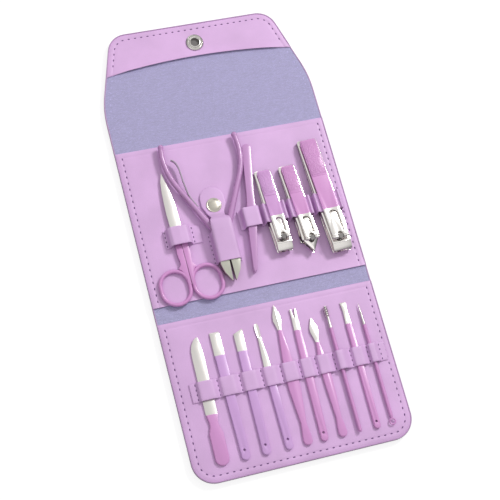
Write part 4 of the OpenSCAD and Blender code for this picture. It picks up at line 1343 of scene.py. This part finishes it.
class MANICURE_OT_stage(bpy.types.Operator):
    """Camera, floor and lights"""

    bl_idname = "manicure.stage"
    bl_label = "Stage"

    def execute(self, context):
        settings = context.scene.stage_looks
        camera = bpy.data.cameras.new("camera")
        camera.lens = settings.lens
        camera.sensor_width = 36
        camera.clip_start = 0.01
        eye = bpy.data.objects.new("camera", camera)
        context.scene.collection.objects.link(eye)
        eye.location = settings.camera
        eye.rotation_euler = Euler(settings.turn)
        context.scene.camera = eye
        self.floor()
        for name, (place, size, power) in LAMPS.items():
            self.lamp(name, place, size, power)
        self.world()
        context.scene.view_settings.view_transform = "Standard"
        return {"FINISHED"}

    def floor(self):
        bm = bmesh.new()
        bmesh.ops.create_grid(bm, x_segments=2, y_segments=2, size=3.0)
        material = bpy.data.materials.new("floor")
        material.use_nodes = True
        tree = material.node_tree
        tree.nodes.clear()
        first = Value(tree)
        rays = tree.nodes.new("ShaderNodeLightPath")
        seen = Value(tree, rays.outputs["Is Camera Ray"])
        for kind in ("Is Glossy Ray", "Is Transmission Ray"):
            seen = seen.math("MAXIMUM", seen, Value(tree, rays.outputs[kind]))
        matte = first.node("ShaderNodeBsdfDiffuse", None, {"Color": (0.30, 0.30, 0.30, 1)})
        glow = first.node("ShaderNodeEmission", None, {"Color": (1, 1, 1, 1), "Strength": seen * 0.80})
        first.node("ShaderNodeAddShader", None, {0: matte, 1: glow}).lead_out()
        obj = mesh_object("floor", bm, material)

    def lamp(self, name, place, size, power):
        light = bpy.data.lights.new(name, "AREA")
        light.shape = "DISK"
        light.size = size
        light.energy = power
        obj = bpy.data.objects.new(name, light)
        bpy.context.scene.collection.objects.link(obj)
        obj.location = place
        obj.rotation_euler = (-Vector(place)).to_track_quat("-Z", "Y").to_euler()

    def world(self):
        world = bpy.data.worlds.new("world")
        bpy.context.scene.world = world
        world.use_nodes = True
        tree = world.node_tree
        tree.nodes.clear()
        first = Value(tree)
        direction = first.node("ShaderNodeTexCoord", output=0)
        height = first.node("ShaderNodeSeparateXYZ", None, {"Vector": direction}, output=2)
        sky = height.step(0.25, 0.95).blend((0.16, 0.16, 0.18), (1.5, 1.5, 1.5))
        rays = tree.nodes.new("ShaderNodeLightPath")
        sky = Value(tree, rays.outputs["Is Camera Ray"]).blend(sky, (1, 1, 1))
        first.node("ShaderNodeBackground", None, {"Color": sky, "Strength": 0.52}).lead_out("World")


class MANICURE_PT_panel(bpy.types.Panel):
    """The steps that dress the set, in order"""

    bl_label = "Manicure Set"
    bl_space_type = "VIEW_3D"
    bl_region_type = "UI"
    bl_category = "Manicure Set"

    def draw(self, context):
        for looks in (context.scene.case_looks, context.scene.tool_looks, context.scene.stage_looks):
            box = self.layout.box()
            for name in looks.__annotations__:
                box.prop(looks, name)
        for step in STEPS:
            self.layout.operator(step.bl_idname)


STEPS = (
    MANICURE_OT_covers, MANICURE_OT_linings, MANICURE_OT_rims, MANICURE_OT_overlays, MANICURE_OT_band,
    MANICURE_OT_row_strap, MANICURE_OT_tool_strap, MANICURE_OT_scissors_loop, MANICURE_OT_holster,
    MANICURE_OT_press_studs, MANICURE_OT_seams, MANICURE_OT_small_tools, MANICURE_OT_scissors,
    MANICURE_OT_nipper, MANICURE_OT_tweezers, MANICURE_OT_clippers, MANICURE_OT_stage,
)
SETTINGS = {"case_looks": CaseSettings, "tool_looks": ToolSettings, "stage_looks": StageSettings}


def register():
    for kind in (*SETTINGS.values(), *STEPS, MANICURE_PT_panel):
        bpy.utils.register_class(kind)
    for name, kind in SETTINGS.items():
        setattr(bpy.types.Scene, name, PointerProperty(type=kind))


def unregister():
    for name in SETTINGS:
        delattr(bpy.types.Scene, name)
    for kind in reversed((*SETTINGS.values(), *STEPS, MANICURE_PT_panel)):
        bpy.utils.unregister_class(kind)


def main():
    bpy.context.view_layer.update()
    register()
    for step in STEPS:
        group, name = step.bl_idname.split(".")
        getattr(getattr(bpy.ops, group), name)()


if __name__ == "__main__":
    main()
